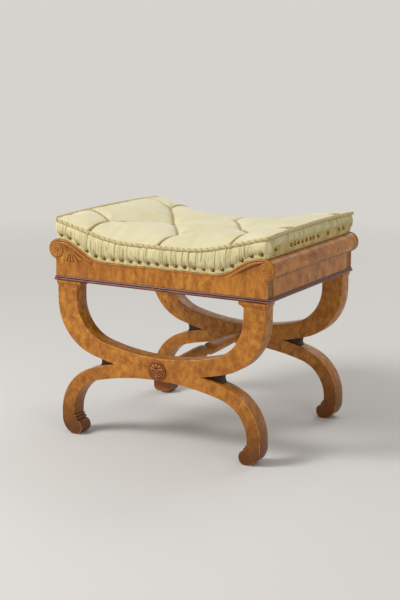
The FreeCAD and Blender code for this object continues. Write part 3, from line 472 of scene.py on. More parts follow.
def marked(node, body, mask, share, tint, patches=1.0):
    """Lays a second colour where the piece's own mask of this name says so, broken up by patches."""
    amount = node("ShaderNodeAttribute", attribute_name=mask).outputs["Fac"]
    amount = node(MATH, {0: amount, 1: patches}, operation="MULTIPLY")
    amount = node(MATH, {0: amount, 1: share}, operation="MULTIPLY", use_clamp=True)
    return node(MIX, {0: amount, 6: body, 7: tint}, data_type="RGBA")


def threads(node, place, scale, axis, distortion, detail=2.0):
    """Waves of thread across one axis, 10 over pi of them per metre for each unit of scale.

    A plain weave shows two threads in each wave.
    """
    return node(WAVE, {"Vector": place, "Scale": scale, "Distortion": distortion, "Detail": detail},
                wave_type="BANDS", bands_direction=axis).outputs["Fac"]


def darker(tint, share):
    return tuple(c * share for c in tuple(tint)[:3])


def polished_birch(name, figure, carved=False, shade_near_floor=True):
    """Figured birch veneer under old French polish: dark flames in clear golden wood, paler on worn edges
    with a painted highlight.

    The figure is flecks per metre along each axis; 90 across the flame makes stripes about 12 mm wide.
    """
    tint = colours()
    material, node, shader, spot = new_material(name, {"Roughness": 0.36, "IOR": 1.5, "Coat Weight": 0.06,
                                                       "Coat Roughness": 0.2, "Specular IOR Level": 0.3})
    sway = node("ShaderNodeTexNoise", {"Vector": spot, "Scale": 22.0, "Detail": 2.0}).outputs["Color"]
    bent = node(VECTOR_MATH, {0: sway, 1: (0.012, 0.012, 0.012), 2: spot}, operation="MULTIPLY_ADD")
    flames = pattern(node, bent, figure, 4.0, 0.6, 0.25)
    curl = pattern(node, bent, [30 + f * 0.6 for f in figure], 3.0, 0.6, 0.5)
    grain = pattern(node, bent, [f * 9 for f in figure], 3.0, 0.65)
    body = node(COLOUR_RAMP, {"Fac": node(MIX, {0: 0.4, 2: flames, 3: curl})},
                ((0.31, tint.birch_dark), (0.46, tint.birch_mid), (0.63, tint.birch_light)))
    body = mottled(node, body, pattern(node, spot, 9, 3.0, 0.5), 0.45, 0.7, 0.35, tint.birch_dark)
    body = mottled(node, body, grain, 0.5, 0.72, 0.25, tint.birch_dark)
    if shade_near_floor:
        # Painted shade darkens the legs towards the floor, and the posts show the line of their joint.
        height = node("ShaderNodeSeparateXYZ", {"Vector": spot}).outputs["Z"]
        body = mottled(node, body, height, 150 * MM, 18 * MM, 0.9, darker(tint.carved, 0.36))
        over = node(MATH, {0: height, 1: POST_JOINT}, operation="SUBTRACT")
        away = node(MATH, {0: over}, operation="ABSOLUTE")
        body = mottled(node, body, away, 0.9 * MM, 0.4 * MM, 0.4, darker(tint.birch_dark, 0.6))
    patches = node(MAP_RANGE, {"Value": pattern(node, spot, 45, 3.0), "From Min": 0.38, "From Max": 0.56})
    # Paler edges: wear, with a painted highlight along them.
    body = marked(node, body, "wear", 0.8, linear("#D8A560"), patches)
    if carved:
        body = marked(node, body, "carved", 0.5, tint.carved)
        # Painted highlight on the ridges of the carving and painted shade in its hollows.
        body = marked(node, body, "ridge", 0.6, tint.birch_light)
        body = marked(node, body, "hollow", 0.9, darker(tint.carved, 0.22))
    gloss = node(MAP_RANGE, {"Value": flames, "From Min": 0.3, "From Max": 0.7, "To Min": 0.42,
                             "To Max": 0.3})
    relief = node(BUMP, {"Height": grain, "Distance": 0.08 * MM, "Strength": 0.5})
    connect(shader, {"Base Color": body, "Roughness": gloss, "Normal": relief})
    return material


def stained_wood(name, tint, light, roughness=0.38):
    """Plain birch stained dark and polished: fine straight grain, paler on worn edges, with painted highlight
    on the high spots and painted shade in the hollows.
    """
    material, node, shader, spot = new_material(name, {"Roughness": roughness, "IOR": 1.5,
                                                       "Coat Weight": 0.08, "Coat Roughness": 0.2,
                                                       "Specular IOR Level": 0.3})
    grain = pattern(node, spot, (18, 18, 260), 4.0, 0.6, 0.4)
    body = node(COLOUR_RAMP, {"Fac": grain},
                ((0.3, darker(tint, 0.55)), (0.5, tint), (0.72, darker(tint, 1.5))))
    patches = node(MAP_RANGE, {"Value": pattern(node, spot, 26, 3.0), "From Min": 0.4, "From Max": 0.65})
    # Paler worn edges with a painted highlight, painted shade in the hollows and painted highlight on the
    # ridges.
    body = marked(node, body, "wear", 0.7, light, patches)
    body = marked(node, body, "hollow", 0.85, darker(tint, 0.22))
    body = marked(node, body, "ridge", 0.7, light)
    relief = node(BUMP, {"Height": grain, "Distance": 0.1 * MM, "Strength": 0.5})
    connect(shader, {"Base Color": body, "Normal": relief})
    return material


def raw_wood(name, code):
    """Sawn softwood or beech inside the seat: unpolished, with straight growth rings."""
    tint = linear(code)
    material, node, shader, spot = new_material(name, {"Roughness": 0.75, "IOR": 1.45})
    rings = pattern(node, spot, (6, 60, 60), 4.0, 0.5, 1.2)
    body = node(COLOUR_RAMP, {"Fac": rings},
                ((0.3, darker(tint, 0.62)), (0.55, tint), (0.75, darker(tint, 1.2))))
    fibres = pattern(node, spot, (40, 900, 900))
    relief = node(BUMP, {"Height": fibres, "Distance": 0.2 * MM, "Strength": 0.6})
    connect(shader, {"Base Color": body, "Normal": relief})
    return material


def cover_silk(name, main, crumpled):
    """Ivory silk: a fine plain weave with a soft sheen, darkened with painted shade where it is folded."""
    tint = colours()
    material, node, shader, spot = new_material(name, {"Roughness": 0.52, "IOR": 1.45, "Sheen Weight": 0.35,
                                                       "Sheen Roughness": 0.4, "Specular IOR Level": 0.4})
    slubs = pattern(node, spot, (45, 900, 900), 3.0, 0.6)
    body = mottled(node, main, pattern(node, spot, 13, 4.0, 0.6), 0.4, 0.75, 0.6, tint.silk_shade)
    body = mottled(node, body, slubs, 0.45, 0.75, 0.12, tint.silk_shade)
    patches = node(MAP_RANGE, {"Value": pattern(node, spot, 55, 3.0), "From Min": 0.35, "From Max": 0.6})
    body = marked(node, body, "stain", 0.7, linear("#CBB066"), patches)
    # Painted shade in the folds and creases, from the piece's hollow mask.
    body = marked(node, body, "hollow", 0.75, linear("#84753E"))
    # The threads are 0.25 mm apart and drawn 1 mm apart, which is as fine as a render shows.
    weave = node(MATH, {0: threads(node, spot, 160.0, "X", 1.5), 1: threads(node, spot, 160.0, "Y", 1.5)},
                 operation="ADD")
    cloth = node(MATH, {0: weave, 1: slubs}, operation="ADD")
    crumple = node(MATH, {0: pattern(node, spot, 110, 3.0, 0.5, 0.5), 1: crumpled, 2: cloth},
                   operation="MULTIPLY_ADD")
    relief = node(BUMP, {"Height": crumple, "Distance": 0.05 * MM, "Strength": 0.5})
    connect(shader, {"Base Color": body, "Normal": relief})
    return material


def twisted_silk(name, light, dark):
    """Cord of twisted silk: each strand shows its own slanting threads, and one strand in three is painted
    darker as the shade of the twist.
    """
    material, node, shader, spot = new_material(name, {"Roughness": 0.55, "IOR": 1.45, "Sheen Weight": 0.3,
                                                       "Sheen Roughness": 0.4})
    around, along = (node("ShaderNodeAttribute", attribute_name=mask).outputs["Fac"]
                     for mask in ("around", "along"))
    lengthways = node(MATH, {0: along, 1: 2 * math.pi * 160}, operation="MULTIPLY")
    slant = node(MATH, {0: around, 1: 2 * math.pi * 8, 2: lengthways}, operation="MULTIPLY_ADD")
    thread = node(MATH, {0: slant}, operation="SINE")
    # Painted shade: the first strand takes the dark colour.
    body = marked(node, light, "strand", 1.0, dark)
    body = mottled(node, body, thread, -1, 1, 0.4, darker(dark, 0.8))
    body = mottled(node, body, pattern(node, spot, 30), 0.4, 0.7, 0.3, dark)
    relief = node(BUMP, {"Height": thread, "Distance": 0.15 * MM, "Strength": 0.8})
    connect(shader, {"Base Color": body, "Normal": relief})
    return material


def gold_braid(name):
    """Flat woven braid of gold-coloured silk with a rib across it."""
    tint = colours().braid
    material, node, shader, spot = new_material(name, {"Roughness": 0.5, "IOR": 1.45, "Sheen Weight": 0.3})
    body = mottled(node, tint, pattern(node, spot, 45, 3.0), 0.4, 0.66, 1.0, darker(tint, 0.62))
    # Painted shade between the ribs.
    body = marked(node, body, "hollow", 0.8, linear("#9A7E3C"))
    ribs = threads(node, spot, 220.0, "Z", 1.0)
    relief = node(BUMP, {"Height": ribs, "Distance": 0.12 * MM, "Strength": 0.7})
    connect(shader, {"Base Color": body, "Normal": relief})
    return material


def aged_metal(name, tint, dark, roughness=0.34):
    """Antique nail brass or steel: bright where fingers rub it, brown in the pits."""
    material, node, shader, spot = new_material(name, {"Metallic": 1.0, "Roughness": roughness})
    patina = pattern(node, spot, 260, 4.0, 0.6)
    body = node(COLOUR_RAMP, {"Fac": patina}, ((0.38, dark), (0.54, tint)))
    gloss = node(MAP_RANGE, {"Value": patina, "From Min": 0.35, "From Max": 0.65, "To Min": 0.55,
                             "To Max": roughness})
    relief = node(BUMP, {"Height": patina, "Distance": 0.06 * MM, "Strength": 0.6})
    connect(shader, {"Base Color": body, "Roughness": gloss, "Normal": relief})
    return material


def coarse_weave(name, code, count, roughness=0.9):
    """Jute, hessian, twine or cotton: a matt plain weave with this count of threads per metre."""
    tint = linear(code)
    material, node, shader, spot = new_material(name, {"Roughness": roughness, "IOR": 1.45,
                                                       "Sheen Weight": 0.15})
    waves = [threads(node, spot, count / (2 * math.pi), axis, 0.8, 1.0) for axis in "XY"]
    weave = node(MATH, {0: waves[0], 1: waves[1]}, operation="MULTIPLY")
    body = node(COLOUR_RAMP, {"Fac": weave}, ((0.0, darker(tint, 0.45)), (0.6, tint)))
    body = mottled(node, body, pattern(node, spot, 20), 0.4, 0.7, 0.4, darker(tint, 0.6))
    relief = node(BUMP, {"Height": weave, "Distance": 0.4 * MM, "Strength": 0.8})
    connect(shader, {"Base Color": body, "Normal": relief})
    return material


# Crossed frames

def upper_back():
    """Back of the upper arch, from -X to +X."""
    return basket(ARCH_HIGH.x, POST_TOP - 30 * MM, SEAM - SEAM_LAP, UPPER_BELLY)[::-1]


def lower_back():
    """Back of the lower arch, from +X to -X."""
    return basket(LEG_HIGH.x, LEG_SPRING, SEAM + SEAM_LAP, LOWER_BELLY)


def cut_at_seam(back, keep):
    """The right and left parts of a back to keep, the flat seam between them from -X to +X, and its tip."""
    right, left = back[keep & (back[:, 0] > 0)], back[keep & (back[:, 0] < 0)]
    tip = np.interp(SEAM, right[:, 1], right[:, 0])
    return right, left, np.stack([np.linspace(-tip, tip, 60), np.full(60, SEAM)], 1), tip


def upper_arch_outline():
    """U of the upper arch, counter-clockwise seen from the front, with each point's edge rounding."""
    half, back = ARCH_HIGH.x, upper_back()
    right, left, seam, tip = cut_at_seam(back, back[:, 1] > SEAM + 0.05 * MM)
    inner = basket(half - POST_WIDTH, POST_TOP - 25 * MM, SEAM + 28.5 * MM, 16 * MM)
    post = np.array([[half, POST_TOP], [half - POST_WIDTH, POST_TOP]])
    points = np.concatenate([left, seam, right, post, inner, (post * (-1, 1))[::-1]])
    return points, edge_rounding(points, tip)


def lower_arch_outline():
    """Arch with two scrolled feet, counter-clockwise seen from the front, with each point's edge rounding."""
    back, foot = lower_back(), foot_contour()
    right, left, seam, tip = cut_at_seam(back, back[:, 1] < SEAM - 0.05 * MM)
    inner = basket(LEG_HIGH.x - LEG_WIDTH, LEG_SPRING, SEAM - 23.5 * MM, 19 * MM)[::-1]
    points = np.concatenate([right, seam[::-1], left, (foot * (-1, 1))[::-1], inner, foot])
    return points, edge_rounding(points, tip)


def edge_rounding(points, tip):
    """Full rounding on open edges, almost none along the glued seam and where the arches part."""
    on_seam = np.abs(points[:, 1] - SEAM) < 0.1 * MM
    away = np.hypot(np.abs(points[:, 0]) - tip, points[:, 1] - SEAM)
    apart = np.where(np.abs(points[:, 1] - SEAM) < 14 * MM, smooth(away, 4 * MM, 40 * MM), 1.0)
    inner_side = np.abs(points[:, 1] - SEAM) > 20 * MM
    full = sizes().edge_round * np.where(inner_side, 1.0, apart)
    return np.where(on_seam, 0.35 * MM, np.maximum(full, 0.3 * MM))


def foot_contour():
    """Right foot from the inner side of the leg, over two small reeds and the toe, to the heel."""
    outer, inner = LEG_HIGH.x, LEG_HIGH.x - LEG_WIDTH
    toe = (outer - TOE_INSET, TOE_RADIUS - 0.5 * MM)
    heel = (outer - HEEL_RADIUS, HEEL_RADIUS - 1 * MM)
    sole_in = math.degrees(math.acos((TOE_RADIUS ** 2 - toe[1] ** 2) ** 0.5 / TOE_RADIUS))
    sole_out = math.degrees(math.asin(-heel[1] / HEEL_RADIUS))
    reeds = [arc_points((inner - 0.4 * MM, 43.6 * MM), 3.4 * MM, 80, 250, 12),
             arc_points((inner - 4.2 * MM, 37.2 * MM), 3.8 * MM, 110, 235, 12)]
    lobe = arc_points(toe, TOE_RADIUS, 128, 180 + sole_in, 34)
    heel_arc = arc_points(heel, HEEL_RADIUS, sole_out, 0, 26)
    top = LEG_SPRING - 3 * MM
    points = np.concatenate([[[inner, top]], *reeds, lobe, heel_arc, [[outer, top]]])
    points[:, 1] = np.maximum(points[:, 1], 0.0)
    return points


def wedge_outline():
    """Filler between the backs of the arches, set in from their faces, with a hollow end."""
    upper, lower = upper_back(), lower_back()[::-1]
    xs = np.linspace(112 * MM, 163 * MM, 24)
    above = np.interp(xs, upper[:, 0], upper[:, 1]) + 0.4 * MM
    under = np.interp(xs, lower[:, 0], lower[:, 1]) - 0.4 * MM
    part = np.linspace(0, 1, 9)[1:-1]
    end = np.stack([xs[-1] - 4 * MM * np.sin(math.pi * part), under[-1] * (1 - part) + above[-1] * part], 1)
    return np.concatenate([np.stack([xs, under], 1), end, np.stack([xs, above], 1)[::-1]])


def pendant_outline():
    low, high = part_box("front_pendant")
    corner = 12 * MM
    bottom = [arc_points((low.x + corner, low.z + corner), corner, 180, 270, 12),
              arc_points((high.x - corner, low.z + corner), corner, 270, 360, 12)]
    # The top edge follows the underside of the arch, which is almost flat over this width.
    top = [[high.x, high.z - 0.4 * MM], [0, high.z - 0.05 * MM], [low.x, high.z - 0.4 * MM]]
    return np.concatenate([*bottom, top])


def make_frames():
    """Arches, the fillers between them and the pendants."""
    birch = polished_birch("french_polished_birch_burr", (70, 70, 52))
    for kind, outline in (("upper_arch", upper_arch_outline), ("lower_arch", lower_arch_outline)):
        points, rounding = outline()
        front = rounded_prism(f"{kind}_front", points, FRAME_FRONT, FRAME_BACK, rounding)
        place_both(front, "flame_birch", material=birch)
    # The fillers are coloured near black: painted shade standing for the shadow between the arches.
    stained = stained_wood("wedge_stained_birch", linear("#3A2416"), linear("#5A3A20"), 0.6)
    wedge = rounded_prism("wedge_front_right", wedge_outline(), FRAME_FRONT + 13 * MM, FRAME_BACK - 5 * MM,
                          0.4 * MM)
    place_in_corners(wedge, "filler_wood", "wedge", stained)
    carved = stained_wood("carved_stained_birch", colours().carved, colours().birch_light)
    low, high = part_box("front_pendant")
    drop = rounded_prism("pendant_front", pendant_outline(), low.y, high.y, 2.2 * MM)
    place_both(drop, "carved_birch", material=carved)


def make_caps():
    """Post caps: a hollow under a thin square slab, made for the right front and turned or mirrored."""
    birch = polished_birch("cap_polished_birch", (75, 75, 40), shade_near_floor=False)
    low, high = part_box("front_right_post_cap")
    slab, soft = 7.5 * MM, 1.4 * MM
    neck_z = high.z - slab
    post = np.array([ARCH_HIGH.x - POST_WIDTH, ARCH_HIGH.x, FRAME_FRONT, FRAME_BACK])
    neck = np.array([low.x + 2 * MM, high.x - 0.8 * MM, low.y + 0.8 * MM, high.y - 0.8 * MM])
    levels = [(low.z + (neck_z - low.z) * share, *(post + (neck - post) * share ** 2.2))
              for share in np.linspace(0, 1, 10)]
    for turn in np.radians(np.linspace(-90, 90, 9)):
        bulge = soft * (1 - math.cos(turn))
        z = (neck_z + soft if turn < 0 else high.z - soft) + soft * math.sin(turn)
        levels.append((z, low.x + bulge, high.x - bulge, low.y + bulge, high.y - bulge))
    cap = ring_loft("cap_front_right", levels, 1.2 * MM)
    place_in_corners(cap, "stained_moulding", "post_cap", birch, angle=30)


def rosette_relief(x, z):
    """Height of the carved rosette: a rim, petals above and shell ridges below its middle line."""
    out = np.hypot(x, z)
    dome = 3.2 * MM * np.sqrt(np.clip(1 - (out / ROSETTE_RADIUS) ** 2, 0, 1))
    rim = 1.6 * MM * np.sqrt(np.clip(1 - ((out - 21.4 * MM) / (2.4 * MM)) ** 2, 0, 1))
    waist = z - 3.5 * MM
    spoke = np.hypot(x, waist)
    bearing = np.degrees(np.arctan2(x, np.maximum(waist, 1e-6)))
    petals = np.abs(np.cos(np.radians(bearing) * 4)) ** 0.6
    petals = 2.2 * MM * petals * smooth(spoke, 3 * MM, 7 * MM) * (1 - smooth(out, 17 * MM, 19.5 * MM))
    shell = np.abs(np.sin(math.pi * spoke / (5.2 * MM))) ** 0.7
    shell = 1.7 * MM * shell * (1 - smooth(out, 18 * MM, 20 * MM))
    bar = 1.8 * MM * np.sqrt(np.clip(1 - (waist / (1.6 * MM)) ** 2, 0, 1))
    bar = bar * (1 - smooth(out, 17 * MM, 19 * MM))
    inner = np.where(waist > 0, petals, shell)
    relief = np.maximum(np.maximum(inner, bar), rim)
    return dome + relief - 1.0 * MM * (1 - smooth(relief, 0.0, 0.8 * MM)), relief


def make_rosettes():
    """Carved roundels over the crossings, as a closed disc of rings."""
    carved = stained_wood("rosette_carved_birch", colours().carved, linear("#C08048"))
    rings, spokes = 64, 220
    reach = ROSETTE_RADIUS * np.sqrt(np.linspace(0.0004, 1, rings))
    angles = np.linspace(0, 2 * math.pi, spokes, endpoint=False)
    grid_r, grid_a = np.meshgrid(reach, angles)
    x, z = grid_r * np.cos(grid_a), grid_r * np.sin(grid_a)
    height, relief = rosette_relief(x, z)
    edge = smooth(ROSETTE_RADIUS - grid_r, 0.0, 1.2 * MM)
    y = FRAME_FRONT - 0.6 * MM - np.maximum(height, 0.3 * MM) * edge
    front = np.stack([x, y, SEAM + z], -1).reshape(-1, 3)
    back = np.stack([x[:, -1], np.full(spokes, FRAME_FRONT), SEAM + z[:, -1]], 1)
    faces = grid_faces(spokes, rings, closed=True)
    count = spokes * rings
    for i in range(spokes):
        j = (i + 1) % spokes
        faces.append((i * rings + rings - 1, j * rings + rings - 1, count + j, count + i)[::-1])
    faces.append(tuple(i * rings for i in range(spokes)))
    faces.append(tuple(count + i for i in range(spokes))[::-1])
    # Painted shade in the low parts of the carving and painted highlight on its high parts.
    hollow = (1 - smooth(relief, 0.2 * MM, 1.3 * MM)).reshape(-1)
    ridge = (smooth(relief, 1.5 * MM, 2.1 * MM) * 0.8).reshape(-1)
    tail = np.zeros(spokes)
    disc = make_piece("rosette_front", np.concatenate([front, back]), faces,
                      hollow=np.concatenate([hollow, tail]), ridge=np.concatenate([ridge, tail]))
    turn_outwards(disc)
    place_both(disc, "carved_birch", material=carved, angle=60)


def turn_outwards(piece):
    """Merges doubled points and turns all faces of a closed piece outwards."""
    work = bmesh.new()
    work.from_mesh(piece.data)
    bmesh.ops.remove_doubles(work, verts=work.verts, dist=1e-7)
    bmesh.ops.recalc_face_normals(work, faces=work.faces)
    work.to_mesh(piece.data)
    work.free()


def dress_inner_parts():
    """Finishes of the parts that keep their shape, most of them inside the seat."""
    blocks = [f"{corner}_corner_block" for corner in ("front_left", "front_right", "back_left", "back_right")]
    rails = [f"{side}_rail" for side in ("front", "back", "left", "right")]
    dress_nodes(polished_birch("turned_polished_birch", (60, 26, 60)), "stretcher")
    dress_nodes(raw_wood("sawn_pine", "#C9A06A"), *rails, *blocks)
    dress_nodes(raw_wood("turned_beech", "#C8A87C"), "front_seam_dowels", "back_seam_dowels", "post_tenons",
                "rail_dowels")
    dress_nodes(aged_metal("screw_iron", linear("#8A8680"), linear("#3A332C"), 0.45), "corner_screws")
    dress_nodes(aged_metal("blued_tack_iron", linear("#4A4C50"), linear("#1E1A18"), 0.4), "webbing_tacks")
    dress_nodes(coarse_weave("jute_webbing", "#A8875A", 500), "cross_webbing", "long_webbing")
    dress_nodes(coarse_weave("hessian", "#9A7E52", 700), "hessian")
    dress_nodes(coarse_weave("waxed_twine", "#B89E70", 1500, 0.7), "tuft_ties")


# Aprons

def apron_carving(x, z):
    """Relief of the front apron over its flat face, with masks: painted shade in hollows, painted highlight
    on ridges, stain.
    """
    size = sizes()
    bead, relief = size.bead_pitch * np.where(x > 0, 0.88, 1.08), size.carving_relief
    side = np.abs(x)
    top = swept_height(side)
    slope = np.cos(np.arctan(np.gradient(swept_height(np.linspace(0, 0.3, 3001)), 0.0001)))
    lean = np.interp(side, np.linspace(0, 0.3, 3001), slope)
    depth = (top - z) * lean
    near = smooth(side, 232 * MM, SCROLL_X)
    rim = 3.6 * MM * (1 - near) + bead * near
    strap = 8.6 * MM * (1 - near) + bead * near
    rim_bead = np.sqrt(np.clip(1 - (2 * depth / rim - 1) ** 2, 0, 1))
    strap_place = (depth - rim) / strap
    strap_bead = np.clip(1 - np.abs(2 * strap_place - 1) ** 2.4, 0, 1) ** 0.5
    strap_on = np.where(x > 0, smooth(side, 172 * MM, 218 * MM), smooth(side, 174 * MM, 182 * MM))
    strap_on = strap_on * (side <= SCROLL_X)
    height = 0.55 * relief * rim_bead
    height = height + strap_on * relief * strap_bead * (depth > rim)
    mask = np.maximum(rim_bead * 0.8, strap_on * strap_bead * (depth > rim))

    # Small curl at the low end of the left strap; the right one runs out into the edge
    curl = np.hypot(side - 178 * MM, z - (swept_height(np.array(178 * MM)) - 8.9 * MM))
    knob = np.sqrt(np.clip(1 - (curl / (5.6 * MM)) ** 2, 0, 1))
    knob -= 0.4 * np.exp(-((curl - 3.2 * MM) / (0.6 * MM)) ** 2)
    height = np.maximum(height, relief * np.maximum(knob, 0) * (x < 0))

    # Volute: rim and strap wind in together, clockwise on the right side
    dx, dz = side - SCROLL_X, z - SCROLL_Z
    out = np.hypot(dx, dz)
    turn = np.arctan2(dx, dz) % (2 * math.pi) / (2 * math.pi)
    phase = (SCROLL_RADIUS - out) / bead - 2 * turn
    first = (SCROLL_RADIUS - out) / (bead * (1 + 2 * turn))
    share = np.where(phase < 0, np.clip(first, 0, 1), phase % 1)
    winding = np.sqrt(np.clip(1 - (2 * share - 1) ** 2, 0, 1))
    cone = 0.3 * MM + 1.8 * MM * np.clip(1 - out / SCROLL_RADIUS, 0, 1)
    eye_size = 0.62 * bead
    eye = out < eye_size
    button = np.sqrt(np.clip(1 - (out / eye_size) ** 2, 0, 1)) + 0.2
    spiral = cone + 1.8 * MM * np.where(eye, button, winding)
    solid = np.maximum(phase >= 0, smooth(side, 265 * MM, 272 * MM)) * (out < SCROLL_RADIUS)
    under_band = (z > SCROLL_Z) & (side < SCROLL_X) & (depth < rim + strap)
    volute = solid * ~under_band
    height = np.where(volute > 0, spiral * volute + height * (1 - volute), height)
    lines = np.where(volute > 0.3, np.clip(1.35 - 1.7 * winding, 0, 1), 0) * ~eye
    lines = np.maximum(lines, (volute > 0.3) * np.exp(-((out - eye_size) / (0.6 * MM)) ** 2))

    # Hollow under the strap beside the volute; on the left it ends in the flutes of a shell
    below = depth - rim - strap
    ground = (1 - volute) * (below > 0)
    scoop = smooth(side, 205 * MM, 226 * MM) * ground * smooth(below, 0, 1.2 * MM)
    dip = scoop * np.exp(-(np.maximum(below, 0) / (9 * MM)) ** 2)
    shell_x, shell_z = side - 238 * MM, z - 451 * MM
    ray = np.hypot(shell_x, shell_z)
    bearing = np.degrees(np.arctan2(-shell_z, -shell_x))
    flute = (bearing - 29) / 17 + 0.15 * np.sin(ray / (7 * MM))
    end = (34 + 11 * smooth(-bearing, -80, -40)) * MM
    spread = smooth(ray, 9 * MM, 17 * MM) * (1 - smooth(ray, end - 4 * MM, end))
    on_shell = (flute > 0) & (flute < 5) & (x < 0)
    rays = np.abs(np.sin(math.pi * flute)) ** 0.6 * spread * on_shell * ground
    floor = spread * on_shell * ground
    bowl = (1 - smooth(ray, 6 * MM, 20 * MM)) * (x < 0) * ground * smooth(below, 0, 2 * MM)
    height = height - 1.7 * MM * np.where(x > 0, dip, 0) - 2.0 * MM * bowl
    height = height + 2.4 * MM * rays - 1.4 * MM * floor * (1 - rays)

    # Leaf tip under the left volute
    leaf = np.sqrt(np.clip(1 - ((side - 258 * MM) / (6 * MM)) ** 2 - ((z - 418 * MM) / (9 * MM)) ** 2, 0, 1))
    leaf = leaf * (x < 0) * (1 - volute)
    height = np.maximum(height, 1.8 * MM * leaf * (leaf > 0.02) + height * (leaf <= 0.02))

    # Painted shade: dark lines in the volute's grooves, on the shell's floor, in the dip under the strap and
    # along the edges of rim, strap and leaf.
    hollow = np.clip(lines * 0.95 + floor * np.clip(1 - rays, 0, 1) ** 1.5 + dip * np.where(x > 0, 0.55, 0)
                     + 0.5 * bowl, 0, 1)
    edge_line = np.exp(-((depth - rim) / (0.75 * MM)) ** 2) * 0.95
    hollow = np.maximum(hollow, edge_line * smooth(side, 140 * MM, 200 * MM) * (1 - volute))
    strap_edge = np.exp(-((strap_place - 1.03) / 0.08) ** 2) * (1 - volute)
    hollow = np.maximum(hollow, strap_on * strap_edge * 0.9)
    leaf_edge = np.exp(-((leaf - 0.12) / 0.14) ** 2) * (leaf > 0.01)
    hollow = np.maximum(hollow, leaf_edge * 0.5)
    # Painted highlight on the crests of the shell rays, volute beads, leaf and strap.
    ridge = np.clip(rays ** 3 * 0.8 + (volute > 0) * winding ** 4 * 0.45 + leaf * 0.6
                    + strap_on * strap_bead ** 6 * (depth > rim) * (below < 0) * 0.35, 0, 1)
    stained = np.maximum(np.maximum(mask, volute * 0.6), floor * 0.9)
    return height, hollow, ridge, np.clip(stained, 0, 1)


def make_aprons():
    """Front apron as one closed carved board, and the same turned half round for the back."""
    birch = polished_birch("french_polished_flame_birch", (85, 85, 24), carved=True)
    foot, rim_x = MOULDING_TOP, HALF_LENGTH
    drop = math.sqrt(SCROLL_RADIUS ** 2 - (HALF_LENGTH - SCROLL_X) ** 2)
    split = (SCROLL_Z - drop - foot) / (SCROLL_Z + drop - foot)
    low_rows, high_rows = 52, 92
    shares = np.concatenate([np.linspace(0, split, low_rows + 1), np.linspace(split, 1, high_rows + 1)[1:]])
    rows = len(shares)
    tail = SCROLL_X + SCROLL_RADIUS * np.sin(np.linspace(math.asin((rim_x - SCROLL_X) / SCROLL_RADIUS),
                                                         math.pi / 2, 26))[1:]
    right = np.concatenate([np.arange(4, 164, 4) * MM, np.linspace(164 * MM, rim_x, 150)])
    inner = np.concatenate([-right[::-1], [0.0], right])
    columns = np.concatenate([-tail[::-1], inner, tail])
    points, index = [], -np.ones((len(columns), rows), int)
    for i, x in enumerate(columns):
        side = abs(x)
        if side <= rim_x + 1e-9:
            top = float(swept_height(side)) if side <= SCROLL_X else \
                SCROLL_Z + math.sqrt(SCROLL_RADIUS ** 2 - (side - SCROLL_X) ** 2)
            heights, first = foot + (top - foot) * shares, 0
        else:
            reach = math.sqrt(max(SCROLL_RADIUS ** 2 - (side - SCROLL_X) ** 2, 0))
            part = (shares[low_rows:] - split) / (1 - split)
            heights, first = SCROLL_Z - reach + 2 * reach * part, low_rows
        for j, z in enumerate(heights):
            index[i, first + j] = len(points)
            points.append((x, z))
    flat = np.array(points)
    x, z = flat[:, 0], flat[:, 1]
    relief, hollow, ridge, stained = apron_carving(x, z)
    side = np.abs(x)
    top = np.where(side < SCROLL_X, swept_height(side), 1.0)
    edge = np.minimum((top - z) * 0.9, np.where(z < SCROLL_Z - drop, rim_x - side, 1.0))
    disc = SCROLL_RADIUS - np.hypot(side - SCROLL_X, z - SCROLL_Z)
    edge = np.minimum(edge, np.where((side > rim_x) | ((side > SCROLL_X) & (z > SCROLL_Z)), disc, 1.0))
    soft = 1.3 * MM
    inset = np.clip(soft - np.maximum(edge, 0), 0, soft)
    relief = relief * smooth(edge, 0, soft) - (soft - np.sqrt(soft ** 2 - inset ** 2))
    front = np.stack([x, -HALF_DEPTH - relief, z], 1)
    faces = []
    for i in range(len(columns) - 1):
        for j in range(rows - 1):
            quad = (index[i, j], index[i + 1, j], index[i + 1, j + 1], index[i, j + 1])
            if min(quad) >= 0:
                faces.append(tuple(int(q) for q in quad))
    first_in, last_in = len(tail), len(columns) - len(tail) - 1
    loop = [index[i, 0] for i in range(first_in, last_in + 1)]
    loop += [index[last_in, j] for j in range(1, low_rows + 1)]
    loop += [index[i, low_rows] for i in range(last_in + 1, len(columns))]
    loop += [index[i, rows - 1] for i in range(len(columns) - 2, 0, -1)]
    loop += [index[i, low_rows] for i in range(0, first_in)]
    loop += [index[first_in, j] for j in range(low_rows, 0, -1)]
    rim = [flat[k] for k in loop]
    start = len(front)
    back = np.array([(p[0], -FACE_Y, p[1]) for p in rim])
    count = len(loop)
    for i in range(count):
        j = (i + 1) % count
        faces.append((int(loop[i]), start + i, start + j, int(loop[j])))
    faces += backwards(flat_triangles(rim, start))
    none = np.zeros(count)
    # Paler along the edges of the board: wear, with a painted highlight.
    wear = np.exp(-(np.maximum(edge, 0) / (1.2 * MM)) ** 2)
    board = make_piece("apron_front", np.concatenate([front, back]), faces,
                       hollow=np.concatenate([hollow, none]), ridge=np.concatenate([ridge, none]),
                       carved=np.concatenate([stained, none]), wear=np.concatenate([wear, none]))
    merge_points(board, 2e-6)
    place_both(board, "apron_birch", material=birch, angle=60)


def profile_bar(name, profile, reach, rows, **masks):
    """Closed bar along Y of a counter-clockwise (x, z) profile, which reaches equally far both ways.

    A mask has one value per point of the profile, and so has reach where the ends are mitred.
    """
    count = len(profile)
    points = [np.stack([profile[:, 0], np.broadcast_to(reach * (2 * part - 1), (count,)), profile[:, 1]], 1)
              for part in np.linspace(0, 1, rows)]
    faces = backwards(ring_faces(rows, count)) + flat_triangles(profile)
    faces += backwards(flat_triangles(profile, (rows - 1) * count))
    return make_piece(name, np.concatenate(points), faces,
                      **{mask: np.tile(values, rows) for mask, values in masks.items()})


